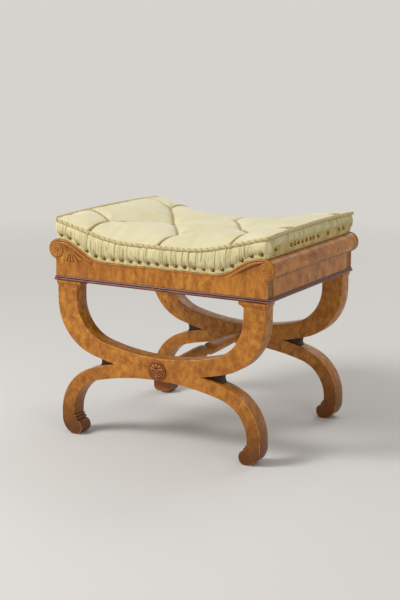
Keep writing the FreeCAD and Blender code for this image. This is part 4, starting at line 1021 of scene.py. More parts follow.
def make_ends():
    """End aprons with the end grain of the long rails at each side, and the rolls above them."""
    birch = polished_birch("end_flame_birch", (60, 36, 26))
    grain = stained_wood("end_grain_birch", linear("#8A5520"), linear("#A8742E"), 0.45)
    low, high = END_LOW, END_HIGH
    strip, joint = RAIL_HIGH.y, 0.6 * MM

    def panel(name, y0, y1, inset, material):
        outline = [(y0, low.z), (y1, low.z), (y1, high.z), (y0, high.z)]
        piece = rounded_prism(name, outline, -(high.x - inset), -low.x, 0.5 * MM, 3)
        piece.data.transform(Matrix.Rotation(math.pi / 2, 4, "Z"))
        piece.data.materials.append(material)
        return piece

    whole = join_pieces([panel("end_apron_right", strip + joint, -strip - joint, 0.0, birch),
                         panel("strip", -FACE_Y, strip, 1.0 * MM, grain),
                         panel("strip", -strip, FACE_Y, 1.0 * MM, grain)])
    left = turned_copy(whole, "end_apron_left")
    place(whole, "apron_birch", "right_end_apron")
    place(left, "apron_birch", "left_end_apron")

    arc = arc_points((SCROLL_X, SCROLL_Z), SCROLL_RADIUS - 0.9 * MM, -74, 84, 44)
    foot = [[ROLL_LOW.x, ROLL_LOW.z], [HALF_LENGTH + 0.2 * MM, ROLL_LOW.z],
            [HALF_LENGTH + 0.2 * MM, ROLL_LOW.z + 1.6 * MM]]
    profile = np.concatenate([foot, arc, [[ROLL_LOW.x, SCROLL_TOP - 1.2 * MM]]])
    # Painted shade along the underside of the roll, where it meets the end apron.
    dark = 0.6 * np.exp(-((profile[:, 1] - ROLL_LOW.z) / (5 * MM)) ** 2)
    roll = profile_bar("end_roll_right", profile, FACE_Y, 24, hollow=dark)
    rolled = polished_birch("rolled_flame_birch", (36, 34, 36), carved=True)
    place_both(roll, "apron_birch", material=rolled)


def join_pieces(parts):
    """Joins meshes into the first one and keeps their materials."""
    bpy.ops.object.select_all(action="DESELECT")
    for part in parts:
        part.select_set(True)
    bpy.context.view_layer.objects.active = parts[0]
    bpy.ops.object.join()
    return parts[0]


def make_mouldings():
    """Mitred base moulding: a bead, a thin groove, a narrow fillet and a small cove under the veneer."""
    stained = stained_wood("moulding_stained_birch", colours().moulding, linear("#A0623A"), 0.3)
    low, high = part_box("right_moulding")
    face, out = HALF_LENGTH, high.x - HALF_LENGTH
    inner = low.x
    bead_r = 3.1 * MM
    base = SEAT_BASE
    bead = arc_points((face + out - bead_r, base + bead_r), bead_r, -90, 62, 16)
    groove = [[face + 0.9 * MM, base + 6.4 * MM], [face + 0.9 * MM, base + 7.0 * MM],
              [face + 1.7 * MM, base + 7.1 * MM], [face + 1.8 * MM, base + 8.4 * MM]]
    cove = arc_points((face + 1.9 * MM, base + 10.6 * MM), 1.7 * MM, 255, 180, 6)
    profile = np.concatenate([[[inner, base]], bead, groove, cove,
                              [[face + 0.15 * MM, MOULDING_TOP], [inner, MOULDING_TOP]]])
    # Paler band round the front of the bead: wear with a painted highlight; painted shade in the groove above
    # it.
    wear = np.exp(-((profile[:, 1] - base - bead_r) / (1.6 * MM)) ** 2) * (profile[:, 0] > face)
    hollow = np.exp(-((profile[:, 1] - base - 6.6 * MM) / (0.5 * MM)) ** 2) * 0.8
    for side, half, outside in (("right", HALF_DEPTH, HALF_LENGTH), ("front", HALF_LENGTH, HALF_DEPTH)):
        bar = profile_bar(f"moulding_{side}", profile + (outside - face, 0), half + profile[:, 0] - face, 20,
                          wear=wear, hollow=hollow)
        if side == "front":
            bar.data.transform(Matrix.Rotation(-math.pi / 2, 4, "Z"))
        place_both(bar, "stained_moulding", material=stained, angle=35)


# Cushion

CELL_COLUMNS = 18
EDGE_ROWS, CELL_ROWS = 12, 18
PANEL_X, PANEL_Y = 276.5 * MM, 231 * MM


def panel_grid():
    """Plan of the top panel: its lines run through the tufts, so that pleats follow its edges."""
    pitch, row = TUFT_PITCH_X / 2, TUFT_PITCH_Y / 2
    xs = np.concatenate([np.linspace(-PANEL_X, -2 * pitch, CELL_COLUMNS + 1)[:-1],
                         np.linspace(-2 * pitch, 2 * pitch, 4 * CELL_COLUMNS + 1),
                         np.linspace(2 * pitch, PANEL_X, CELL_COLUMNS + 1)[1:]])
    ys = np.concatenate([np.linspace(-PANEL_Y, -row, EDGE_ROWS + 1)[:-1],
                         np.linspace(-row, row, 2 * CELL_ROWS + 1),
                         np.linspace(row, PANEL_Y, EDGE_ROWS + 1)[1:]])
    x, y = np.meshgrid(xs, ys, indexing="ij")
    out = np.clip((np.abs(x) - 2 * pitch) / (PANEL_X - 2 * pitch), 0, 1)
    knots = np.array([-PANEL_Y, -row, 0, row, PANEL_Y])
    warped = np.array([-PANEL_Y, -106 * MM, 14 * MM, 150 * MM, PANEL_Y])
    y = y + out * (np.interp(y, knots, warped) - y)
    return x, y


def pleat_lines():
    """Runs of grid places (column, row) that each pleat follows, from a tuft outwards or to the next tuft."""
    c, e, m = CELL_COLUMNS, EDGE_ROWS, CELL_ROWS
    columns, rows = 6 * c, 2 * (e + m)
    lines = []
    for start in (c, 3 * c, 5 * c):
        lines.append([(start, e - k) for k in range(e + 1)])
        lines.append([(start, rows - e + k) for k in range(e + 1)])
    for start, step in ((c, 1), (3 * c, -1), (3 * c, 1), (5 * c, -1)):
        lines.append([(start + step * k, e + k) for k in range(m + 1)])
        lines.append([(start + step * k, rows - e - k) for k in range(m + 1)])
    for row in (e, rows - e):
        lines.append([(c - k, row) for k in range(c + 1)])
        lines.append([(columns - c + k, row) for k in range(c + 1)])
    return lines


def base_height(x, y):
    """Saddle that the panels stand on, level with the piping all round."""
    sides = smooth(np.abs(x), 150 * MM, PANEL_X)
    return rope_height(x) + ROPE_SIDE_CROWN * (1 - (y / PANEL_Y) ** 2) * sides


def pin_heights(shape):
    """Lift of each pinned grid place over the saddle, and which places are pinned."""
    size = sizes()
    lift, pinned = np.zeros(shape), np.zeros(shape, bool)
    edge = 1.5 * MM
    for line in pleat_lines():
        to_edge = line[-1][0] in (0, shape[0] - 1) or line[-1][1] in (0, shape[1] - 1)
        for k, spot in enumerate(line):
            part = k / (len(line) - 1)
            if to_edge:
                rise = 0.0 if line[-1][0] == shape[0] - 1 else 5.5 * MM
                hump = size.tuft_lift + rise * math.sin(math.pi * part * 0.85)
                value = hump * (1 - part ** 3) + edge * part ** 3
            else:
                value = size.tuft_lift + (size.pleat_lift - size.tuft_lift) * math.sin(math.pi * part)
            lift[spot], pinned[spot] = value, True
    for side in (0, -1):
        lift[side, :] = lift[:, side] = edge
        pinned[side, :] = pinned[:, side] = True
    return lift, pinned


def relaxed(lift, pinned, free_lift, turns):
    """Fills the free places with a smooth sheet through the pins."""
    field = np.where(pinned, lift, free_lift)
    for _ in range(turns):
        mean = field.copy()
        mean[1:-1, 1:-1] = (field[:-2, 1:-1] + field[2:, 1:-1] + field[1:-1, :-2] + field[1:-1, 2:]) / 4
        field = np.where(pinned, lift, mean)
    return field


def blow_up_panel(x, y, start, pinned):
    """Cloth simulation of the top panel: pinned at tufts, pleats and edges, and filled by pressure."""
    columns, rows = x.shape
    points = np.stack([x, y, start], -1).reshape(-1, 3)
    faces = [tri for i in range(columns - 1) for j in range(rows - 1) for tri in cell_triangles(i, j, rows)]
    sheet = make_piece("panel_cloth", points, faces)
    group = sheet.vertex_groups.new(name="pins")
    group.add([int(k) for k in np.flatnonzero(pinned.reshape(-1))], 1.0, "REPLACE")
    cloth = sheet.modifiers.new("cloth", "CLOTH")
    fabric = cloth.settings
    fabric.quality = 6
    fabric.mass = 0.12
    fabric.tension_stiffness = fabric.compression_stiffness = 12
    fabric.shear_stiffness = 4
    fabric.bending_stiffness = 1.5
    fabric.vertex_group_mass = "pins"
    fabric.pin_stiffness = 1
    fabric.shrink_min = -0.01
    fabric.use_pressure = True
    fabric.uniform_pressure_force = 3
    fabric.effector_weights.gravity = 0
    cloth.collision_settings.use_collision = False
    cloth.point_cache.frame_start, cloth.point_cache.frame_end = 1, 20
    scene = bpy.context.scene
    for number in range(1, 21):
        scene.frame_set(number)
    blown = sheet.evaluated_get(bpy.context.evaluated_depsgraph_get())
    result = np.zeros(len(points) * 3)
    blown.data.vertices.foreach_get("co", result)
    scene.frame_set(1)
    bpy.data.objects.remove(sheet, do_unlink=True)
    return result.reshape(columns, rows, 3)


def is_rising(i, j):
    """Which way a cell's diagonal runs, so that it lies along the pleats between the tufts."""
    c, e, m = CELL_COLUMNS, EDGE_ROWS, CELL_ROWS
    if i < c or i >= 5 * c or j < e or j >= e + 2 * m:
        return True
    quarter = (i - c) // c
    return (quarter % 2 == 0) == (j < e + m)


def cell_triangles(i, j, rows):
    """The two triangles of a cell of the panel."""
    a, b = i * rows + j, (i + 1) * rows + j
    return [(a, b, b + 1), (a, b + 1, a + 1)] if is_rising(i, j) else [(a, b, a + 1), (b, b + 1, a + 1)]


def pillow_shape(x, y):
    """Fullness of the panel, from 0 at its seams to 1: steep beside the pleats, gentler along the piping."""
    gap = np.full(x.shape, 1.0)
    for line in pleat_lines():
        a, b = (np.array([x[spot], y[spot]]) for spot in (line[0], line[-1]))
        run = b - a
        part = np.clip(((x - a[0]) * run[0] + (y - a[1]) * run[1]) / run.dot(run), 0, 1)
        gap = np.minimum(gap, np.hypot(x - a[0] - part * run[0], y - a[1] - part * run[1]))
    edge = np.minimum(PANEL_X - np.abs(x), PANEL_Y - np.abs(y))
    return (1 - np.exp(-gap / (12 * MM))) * (1 - np.exp(-np.maximum(edge, 0) / (24 * MM)))


def cushion_top():
    """Points of the finished top panel."""
    size = sizes()
    x, y = panel_grid()
    lift, pinned = pin_heights(x.shape)
    base = base_height(x, y)
    pillow = (size.crown_lift - size.pleat_lift) * pillow_shape(x, y)
    start = base + relaxed(lift, pinned, size.pleat_lift, 600) + pillow * ~pinned
    origin = np.stack([x, y, start], -1)
    shift = blow_up_panel(x, y, start, pinned) - origin
    far = np.linalg.norm(shift, axis=-1, keepdims=True)
    return origin + shift * np.minimum(1, 9 * MM / np.maximum(far, 1e-9))


FINISHED_PANEL = []


def panel_shape():
    """The panel's points, worked out once for the cushion and for the cords in its pleats."""
    if not FINISHED_PANEL:
        FINISHED_PANEL.append(cushion_top())
    return FINISHED_PANEL[0]


def make_cushion():
    """Tufted cushion: the blown-up top panel over a pad that stands on the hessian."""
    silk = cover_silk("ivory_silk_panel", colours().silk, 2.0)
    top = panel_shape()
    columns, rows = top.shape[:2]
    x, y = top[..., 0], top[..., 1]
    inset = 5.5 * MM
    under_x = np.clip(x, -FACE_X + inset, FACE_X - inset)
    under_y = np.clip(y, -FACE_Y + inset, FACE_Y - inset)
    webbing = 5.6 * MM
    rail = swept_height(under_x) + 17 * MM + 7 * MM * smooth(np.abs(under_x), SCROLL_X - SWEEP_RUN, SCROLL_X)
    bottom = np.stack([under_x, under_y, rail + webbing], -1)
    points = np.concatenate([top.reshape(-1, 3), bottom.reshape(-1, 3)])
    count = columns * rows
    faces = []
    for i in range(columns - 1):
        for j in range(rows - 1):
            a, b = i * rows + j, (i + 1) * rows + j
            faces += cell_triangles(i, j, rows)
            faces.append(tuple(count + k for k in (a + 1, b + 1, b, a)))
    rim = [(i, 0) for i in range(columns)] + [(columns - 1, j) for j in range(1, rows)]
    rim += [(i, rows - 1) for i in range(columns - 2, -1, -1)] + [(0, j) for j in range(rows - 2, 0, -1)]
    rim = [i * rows + j for i, j in rim]
    for a, b in zip(rim, rim[1:] + rim[:1]):
        faces.append((a, count + a, count + b, b))
    # Painted shade along the pleats.
    pleats = np.zeros((columns, rows))
    for line in pleat_lines():
        for spot in line:
            pleats[spot] = 1.0
    deep = np.concatenate([pleats.reshape(-1), np.zeros(count)])
    cushion = make_piece("tufted_cushion", points, faces, hollow=deep * 0.8)
    crease = cushion.data.attributes.new("crease_edge", "FLOAT", "EDGE")
    on_pleat = np.zeros(2 * count, bool)
    on_pleat[:count] = pleats.reshape(-1) > 0
    marks = [0.75 if on_pleat[e.vertices[0]] and on_pleat[e.vertices[1]] else 0.0 for e in cushion.data.edges]
    crease.data.foreach_set("value", marks)
    soften = cushion.modifiers.new("subdivision", "SUBSURF")
    soften.levels = soften.render_levels = 1
    apply_modifiers(cushion)
    add_pulls(cushion)
    place(cushion, "silk", "top_cover", "stuffing_pad", material=silk, angle=180)


def add_pulls(cushion):
    """Fine pull lines in the silk that spread from each tuft and from the edges."""
    mesh = cushion.data
    co = np.zeros(len(mesh.vertices) * 3)
    mesh.vertices.foreach_get("co", co)
    co = co.reshape(-1, 3)
    x, y, z = co.T
    lift = z - base_height(np.clip(x, -PANEL_X, PANEL_X), np.clip(y, -PANEL_Y, PANEL_Y))
    row = TUFT_PITCH_Y / 2
    tufts = [(i * TUFT_PITCH_X, s * row) for i in (-1, 0, 1) for s in (-1, 1)]
    tufts += [(-TUFT_PITCH_X / 2, 0), (TUFT_PITCH_X / 2, 0)]
    change = np.zeros(len(z))
    for number, (tx, ty) in enumerate(tufts):
        away = np.hypot(x - tx, y - ty)
        bearing = np.degrees(np.arctan2(y - ty, x - tx)) + 180
        lines = wobble(bearing, 17, 40 + number)
        change += 0.8 * MM * lines * smooth(away, 3 * MM, 16 * MM) * np.exp(-(away / (48 * MM)) ** 2)
    edge = np.minimum(PANEL_X - np.abs(x), PANEL_Y - np.abs(y))
    along = np.where(PANEL_X - np.abs(x) < PANEL_Y - np.abs(y), y, x)
    seam = np.exp(-(edge / (14 * MM)) ** 2) * smooth(edge, 0, 4 * MM)
    change += 0.45 * MM * wobble(along, 9 * MM, 77) * seam
    change += 0.5 * MM * wobble(x * 0.8 + y * 0.6, 46 * MM, 5) * wobble(y * 0.9 - x * 0.5, 52 * MM, 6)
    change = np.where(lift > 3 * MM, change, 0)
    co[:, 2] = z + change
    mesh.vertices.foreach_set("co", co.reshape(-1))
    mesh.update()


def apply_modifiers(piece):
    """Turns a piece with modifiers into its plain final mesh."""
    graph = bpy.context.evaluated_depsgraph_get()
    final = bpy.data.meshes.new_from_object(piece.evaluated_get(graph), preserve_all_data_layers=True,
                                            depsgraph=graph)
    final.name = piece.name
    piece.modifiers.clear()
    piece.data = final


# Side bands

def gather_phase(along, pitch, seed):
    """Number of gathers passed at each place, with uneven widths."""
    rng = np.random.default_rng(seed)
    widths = pitch * rng.uniform(0.55, 1.6, 400)
    stops = np.concatenate([[0], np.cumsum(widths)]) - 0.35
    phase = np.interp(along, stops, np.arange(len(stops)))
    return phase, rng.uniform(0.45, 1.25, 420)


def gathers(along, height, seed):
    """Ridges of gathered silk, from 0 in a crease to 1 on a ridge, that lean and merge as they rise."""
    lean = 2.6 * MM * wobble(along, 26 * MM, seed + 1) * (height - 0.5) * 2
    ends = 1.4 * MM * wobble(along, 9 * MM, seed + 2) * np.sin(height * 5)
    phase, strong = gather_phase(along + lean + ends, sizes().gather_pitch, seed)
    which = np.floor(phase).astype(int)
    part = phase - which
    ridge = np.abs(np.sin(math.pi * part)) ** 0.6
    depth = np.where(part < 0.5, strong[which % 420], strong[(which + 1) % 420])
    return 1 - (1 - ridge) * depth, np.exp(-(np.minimum(part, 1 - part) / 0.13) ** 2) * depth


def creases(along, height, seed):
    """Separate deep creases of the gathered silk: how deep each place lies, and how much painted shade
    darkens it.
    """
    rng = np.random.default_rng(seed)
    depth, shade = np.zeros_like(along), np.zeros_like(along)
    spot, last = along.min() + 6 * MM, along.max() - 6 * MM
    while spot < last:
        lean, bow = rng.uniform(-4.5, 4.5) * MM, rng.uniform(-1.5, 1.5) * MM
        width, deep = rng.uniform(0.6, 1.4) * MM, rng.uniform(0.5, 2.3) * MM
        start = rng.choice([-0.3, 0.15, 0.4], p=[0.4, 0.35, 0.25])
        end = rng.choice([0.6, 0.85, 1.3], p=[0.3, 0.3, 0.4])
        line = spot + lean * (height - 0.5) + bow * np.sin(math.pi * height)
        held = smooth(height, start, start + 0.22) * (1 - smooth(height, end - 0.22, end))
        mark = np.exp(-((along - line) / width) ** 2) * held
        depth += deep * mark
        shade = np.maximum(shade, mark * deep / (2.6 * MM))
        spot += rng.uniform(2.0, 9) * MM
    return depth, shade


BAND_CORNER = 7 * MM


def make_band(name, straight, face, low, top, out_axis, seed, nails, tack, strength):
    """Gathered strip that turns half way round both corners.

    straight is half the flat run, face its distance from the middle; low, top and tack give heights along it.
    """
    rows, step = 26, 0.85 * MM
    arc = BAND_CORNER * math.pi / 4
    s = np.linspace(-straight - arc, straight + arc, int(2 * (straight + arc) / step))
    v = np.linspace(0, 1, rows)
    a, v = np.meshgrid(s, v, indexing="ij")
    low_a, top_a, tack_a = (np.repeat(line(s)[:, None], rows, 1) for line in (low, top, tack))
    height = low_a + (top_a - low_a) * v
    above = height - low_a
    free = smooth(straight + arc - np.abs(a), 0, 5 * MM)
    ridge, crease = gathers(a, v, seed)
    deep, shade = creases(a, v, seed + 7)
    nail_gap = np.full(a.shape, 1.0)
    for spot, z in nails:
        nail_gap = np.minimum(nail_gap, np.hypot(a - spot, height - z))
    held = np.exp(-(nail_gap / (7 * MM)) ** 2)
    part = np.clip((above - tack_a) / np.maximum(top_a - low_a - tack_a, 1e-4), 0, 1)
    uneven = 1 + free * (0.2 * wobble(a, 31 * MM, seed + 4) + 0.12 * wobble(a, 12 * MM, seed + 9))
    belly = 6.4 * MM * np.sin(math.pi * part ** 0.8) ** 0.8 * uneven
    puff = 1.7 * MM * smooth(above, 0, 5 * MM) * (1 - held) * free * (1 + 0.7 * wobble(a, 11 * MM, seed + 5))
    puff = puff * (1 - smooth(tack_a, 14 * MM, 20 * MM) * (above < tack_a))
    loose = free * (1 - 0.7 * held) * (0.4 + 0.6 * smooth(above, 2 * MM, 14 * MM))
    flat = smooth(tack_a, 14 * MM, 20 * MM) * (1 - smooth(above, tack_a - 3 * MM, tack_a + 3 * MM))
    loose = loose * (1 - 0.85 * flat)
    tuck = 2.2 * MM * smooth(v, 0.88, 1.0)
    folds = loose * strength * (sizes().gather_depth * (ridge - 0.6) - deep)
    out = np.maximum(belly + puff + folds - 1.2 * MM * held * free - tuck, -1.2 * MM)
    inner = np.full_like(out, 0.3 * MM - BAND_THICKNESS)
    out, height, a = (np.concatenate([front, back[:, ::-1]], axis=1) for front, back in
                      ((out, inner), (height, height), (a, a)))
    turn = np.clip(np.abs(a) - straight, 0, arc) / BAND_CORNER
    reach = BAND_CORNER + out
    along = np.sign(a) * (np.minimum(np.abs(a), straight) + reach * np.sin(turn))
    away = face - BAND_CORNER + reach * np.cos(turn)
    flat_run = (along, -away) if out_axis == "front" else (away, along)
    points = np.stack([*flat_run, height], -1)
    # Painted shade in the gathers and creases and in the dimples round the nails.
    hollow = np.clip((0.5 * crease + shade) * loose * strength + 0.35 * held * free, 0, 1)
    hollow = np.concatenate([hollow, np.zeros_like(hollow)], axis=1)
    stain = np.exp(-np.maximum(above, 0) / (9 * MM))
    stain = np.concatenate([stain, stain[:, ::-1]], axis=1)
    piece = make_piece(name, points.reshape(-1, 3), strip_faces(*a.shape), hollow=hollow.reshape(-1) * 0.9,
                       stain=stain.reshape(-1))
    turn_outwards(piece)
    return piece


def front_nail_places():
    count = round(2 * NAIL_END / NAIL_PITCH) + 1
    xs = np.linspace(-NAIL_END, NAIL_END, count)
    return [(float(x), float(swept_height(x)) + NAIL_EDGE) for x in xs]


def side_nail_places():
    z = (BRAID_LOW.z + BRAID_HIGH.z) / 2
    return [(y * MM, z) for y in SIDE_NAIL_PLACES]


def make_bands():
    silk = cover_silk("gathered_ivory_silk", colours().band_silk, 26.0)
    front_run, front_face = FACE_X + BAND_THICKNESS - BAND_CORNER, FACE_Y + BAND_THICKNESS
    side_run, side_face = FACE_Y + BAND_THICKNESS - BAND_CORNER, FACE_X + BAND_THICKNESS
    front = make_band("band_front", front_run, front_face,
                      lambda s: swept_height(s) + 0.2 * MM,
                      lambda s: rope_height(np.minimum(np.abs(s), ROPE_X)) - 1.5 * MM,
                      "front", 11, front_nail_places(), lambda s: np.full(len(s), 12 * MM), 1.0)
    right = make_band("band_right", side_run, side_face,
                      lambda s: np.full(len(s), SCROLL_TOP + 0.2 * MM),
                      lambda s: side_rope_height(np.clip(s, -ROPE_Y, ROPE_Y)) - 1.5 * MM,
                      "right", 23, side_nail_places(),
                      lambda s: (12 + 13 * smooth(side_run - np.abs(s), -2 * MM, 12 * MM)) * MM, 1.8)
    for band, side, other in ((front, "front", "back"), (right, "right", "left")):
        twin = turned_copy(band, f"band_{other}")
        for piece, here in ((band, side), (twin, other)):
            place(piece, "silk", f"{here}_band", material=silk, angle=180)


# Trim made by Geometry Nodes

def new_tree(name, inputs):
    """Geometry node group with a geometry input and output and these further inputs."""
    tree = bpy.data.node_groups.new(name, "GeometryNodeTree")
    tree.interface.new_socket("Geometry", in_out="INPUT", socket_type="NodeSocketGeometry")
    for title, kind in inputs:
        tree.interface.new_socket(title, in_out="INPUT", socket_type=kind)
    tree.interface.new_socket("Geometry", in_out="OUTPUT", socket_type="NodeSocketGeometry")
    return tree, add(tree, "NodeGroupInput").outputs


def end_tree(tree, geometry, material):
    real = add(tree, "GeometryNodeRealizeInstances", {"Geometry": geometry})
    painted = add(tree, "GeometryNodeSetMaterial", {"Geometry": real, "Material": material})
    add(tree, "NodeGroupOutput", {"Geometry": painted})


def store(tree, geometry, name, value, kind="FLOAT"):
    node = add(tree, "GeometryNodeStoreNamedAttribute", {"Geometry": geometry, "Name": name, "Value": value},
               data_type=kind, domain="POINT")
    return node.outputs["Geometry"]


def maths(tree, operation, a, b=0.0):
    return add(tree, "ShaderNodeMath", {0: a, 1: b}, operation=operation).outputs["Value"]


def cord_tree():
    """Twists three strands round a path."""
    tree, given = new_tree("Twisted Cord", [("Strand Radius", "NodeSocketFloat"), ("Lay", "NodeSocketFloat"),
                                            ("Step", "NodeSocketFloat"), ("Material", "NodeSocketMaterial")])
    fine = add(tree, "GeometryNodeResampleCurve", {"Curve": given["Geometry"], "Length": given["Step"]},
               mode="LENGTH").outputs["Curve"]
    total = add(tree, "GeometryNodeSplineLength").outputs["Length"]
    turns = maths(tree, "ROUND", maths(tree, "DIVIDE", total, given["Lay"]))
    along = add(tree, "GeometryNodeSplineParameter")
    angle = maths(tree, "MULTIPLY", maths(tree, "MULTIPLY", along.outputs["Factor"], turns), 2 * math.pi)
    normal = add(tree, "GeometryNodeInputNormal").outputs["Normal"]
    tangent = add(tree, "GeometryNodeInputTangent").outputs["Tangent"]
    side = add(tree, VECTOR_MATH, {0: tangent, 1: normal}, operation="CROSS_PRODUCT").outputs["Vector"]
    reach = maths(tree, "MULTIPLY", given["Strand Radius"], 1.06)
    join = add(tree, "GeometryNodeJoinGeometry")
    circle = add(tree, "GeometryNodeCurvePrimitiveCircle",
                 {"Resolution": 9, "Radius": given["Strand Radius"]})
    around = add(tree, "GeometryNodeSplineParameter").outputs["Factor"]
    ring = store(tree, circle.outputs["Curve"], "around", around)
    for number in range(3):
        turned = maths(tree, "ADD", angle, 2 * math.pi * number / 3)
        reaches = [maths(tree, "MULTIPLY", reach, maths(tree, wave, turned)) for wave in ("COSINE", "SINE")]
        parts = [add(tree, VECTOR_MATH, {0: direction, "Scale": share}, operation="SCALE")
                 for direction, share in zip((normal, side), reaches)]
        offset = add(tree, VECTOR_MATH, {0: parts[0], 1: parts[1]}, operation="ADD")
        marked = store(tree, fine, "along", along.outputs["Length"])
        marked = store(tree, marked, "strand", 1.0 if number == 0 else 0.0)
        moved = add(tree, "GeometryNodeSetPosition", {"Geometry": marked, "Offset": offset})
        tube = add(tree, "GeometryNodeCurveToMesh",
                   {"Curve": moved, "Profile Curve": ring, "Fill Caps": True})
        tree.links.new(tube.outputs["Mesh"], join.inputs["Geometry"])
    shaded = add(tree, "GeometryNodeSetShadeSmooth", {"Geometry": join.outputs["Geometry"]})
    end_tree(tree, shaded.outputs["Geometry"], given["Material"])
    return tree


def nail_tree():
    """Sets a domed nail head on each point, along the point's own direction and a little askew."""
    tree, given = new_tree("Nail Heads", [("Radius", "NodeSocketFloat"), ("Height", "NodeSocketFloat"),
                                          ("Askew", "NodeSocketFloat"), ("Seed", "NodeSocketInt"),
                                          ("Material", "NodeSocketMaterial")])
    ball = add(tree, "GeometryNodeMeshUVSphere", {"Segments": 20, "Rings": 16, "Radius": 1.0}).outputs["Mesh"]
    where = add(tree, "ShaderNodeSeparateXYZ", {"Vector": add(tree, "GeometryNodeInputPosition")})
    dome = maths(tree, "MULTIPLY", maths(tree, "MAXIMUM", where.outputs["Z"], 0.0), given["Height"])
    under = maths(tree, "MULTIPLY", maths(tree, "MINIMUM", where.outputs["Z"], 0.0), 0.5 * MM)
    shape = add(tree, "ShaderNodeCombineXYZ", {
        "X": maths(tree, "MULTIPLY", where.outputs["X"], given["Radius"]),
        "Y": maths(tree, "MULTIPLY", where.outputs["Y"], given["Radius"]),
        "Z": maths(tree, "ADD", dome, under)})
    head = add(tree, "GeometryNodeSetPosition", {"Geometry": ball, "Position": shape.outputs["Vector"]})
    out = add(tree, "GeometryNodeInputNamedAttribute", {"Name": "out"}, data_type="FLOAT_VECTOR")
    tilt = add(tree, "FunctionNodeRandomValue", {"Seed": given["Seed"]}, data_type="FLOAT_VECTOR")
    for socket, sign in (("Min", -1), ("Max", 1)):
        corner = add(tree, "ShaderNodeCombineXYZ", {axis: maths(tree, "MULTIPLY", given["Askew"], float(sign))
                                                    for axis in "XYZ"})
        tree.links.new(corner.outputs["Vector"], tilt.inputs[socket])
    aim = add(tree, VECTOR_MATH, {0: out.outputs["Attribute"], 1: tilt.outputs["Value"]}, operation="ADD")
    turn = add(tree, "FunctionNodeAlignRotationToVector", {"Vector": aim.outputs["Vector"]}, axis="Z")
    spots = add(tree, "GeometryNodeMeshToPoints", {"Mesh": given["Geometry"]})
    heads = add(tree, "GeometryNodeInstanceOnPoints", {"Points": spots.outputs["Points"],
                                                       "Instance": head.outputs["Geometry"],
                                                       "Rotation": turn.outputs["Rotation"]})
    end_tree(tree, heads.outputs["Instances"], given["Material"])
    return tree


def run_tree(source, tree, name, settings):
    """Runs a tree on an object and returns its result as a plain mesh object."""
    modifier = source.modifiers.new(name, "NODES")
    modifier.node_group = tree
    for item in tree.interface.items_tree:
        if item.item_type == "SOCKET" and item.in_out == "INPUT" and item.name in settings:
            modifier[item.identifier] = settings[item.name]
    graph = bpy.context.evaluated_depsgraph_get()
    graph.update()
    mesh = bpy.data.meshes.new_from_object(source.evaluated_get(graph), preserve_all_data_layers=True,
                                           depsgraph=graph)
    mesh.name = name
    piece = bpy.data.objects.new(name, mesh)
    bpy.context.scene.collection.objects.link(piece)
    bpy.data.objects.remove(source, do_unlink=True)
    return piece


def curve_object(name, runs, cyclic):
    """Curve of straight spans through each run's points, with upright normals."""
    data = bpy.data.curves.new(name, "CURVE")
    data.dimensions = "3D"
    data.twist_mode = "Z_UP"
    for run in runs:
        spline = data.splines.new("POLY")
        spline.points.add(len(run) - 1)
        for point, spot in zip(spline.points, run):
            point.co = (*[float(c) for c in spot], 1)
        spline.use_cyclic_u = cyclic
    curve = bpy.data.objects.new(name, data)
    bpy.context.scene.collection.objects.link(curve)
    return curve


def piping_path():
    """Closed line of the piping round the top edge, with small round corners."""
    run = ROPE_X - ROPE_CORNER
    xs = np.linspace(-run, run, 120)
    front = np.stack([xs, np.full(120, -ROPE_Y), rope_height(xs)], 1)
    ys = np.linspace(-ROPE_Y + ROPE_CORNER, ROPE_Y - ROPE_CORNER, 80)
    side = np.stack([np.full(80, ROPE_X), ys, side_rope_height(ys)], 1)
    turn = arc_points((run, -ROPE_Y + ROPE_CORNER), ROPE_CORNER, -90, 0, 8)[1:-1]
    share = np.linspace(0, 1, 8)[1:-1]
    corner = np.column_stack([turn, front[-1, 2] * (1 - share) + side[0, 2] * share])
    far = (corner * (1, -1, 1))[::-1]
    half = np.concatenate([front, corner, side, far])
    return np.concatenate([half, half * (-1, -1, 1)])


def make_piping():
    tint, size = colours(), sizes()
    gold = twisted_silk("twisted_gold_silk", tint.cord_light, tint.cord_dark)
    # The cords in the pleats take darker colours as painted shade.
    sewn = twisted_silk("pleat_gold_silk", tint.pleat_shaded_light, tint.pleat_dark)
    tree = cord_tree()
    path = piping_path()
    settings = {"Strand Radius": ROPE_RADIUS * 0.49, "Lay": size.strand_lay, "Step": 1.3 * MM,
                "Material": gold}
    piping = run_tree(curve_object("piping_path", [path], True), tree, "twisted_piping", settings)
    place(piping, "gold_rope", "rope_piping", angle=180)
    top = panel_shape()
    runs = [[top[spot] + np.array([0, 0, 1.6 * MM]) for spot in line] for line in pleat_lines()]
    settings = {"Strand Radius": size.pleat_cord * 0.25, "Lay": 12 * MM, "Step": 1.5 * MM, "Material": sewn}
    cords = run_tree(curve_object("pleat_paths", runs, False), tree, "pleat_cords", settings)
    place(cords, "gold_rope", angle=180)


def make_nails():
    tint, size = colours(), sizes()
    brass = aged_metal("antique_nail_brass", tint.brass, linear("#4A3320"))
    tree = nail_tree()
    proud = 3.4 * MM
    front = [(x, -FACE_Y - proud, z) for x, z in front_nail_places()]
    right = [(BRAID_HIGH.x + 1.3 * MM, y, z) for y, z in side_nail_places()]
    for side, points, out, turned in (("front", front, (0, -1, 0), False), ("back", front, (0, 1, 0), True),
                                      ("right", right, (1, 0, 0), False), ("left", right, (-1, 0, 0), True)):
        sign = -1 if turned else 1
        spots = [(sign * x, sign * y, z) for x, y, z in points]
        source = make_piece("nail_points", spots, [])
        layer = source.data.attributes.new("out", "FLOAT_VECTOR", "POINT")
        layer.data.foreach_set("vector", [c for _ in spots for c in out])
        heads = run_tree(source, tree, f"nails_{side}",
                         {"Radius": size.nail_diameter / 2, "Height": size.nail_height, "Askew": 0.16,
                          "Seed": len(side), "Material": brass})
        place(heads, "nail_brass", f"{side}_nails", angle=50)


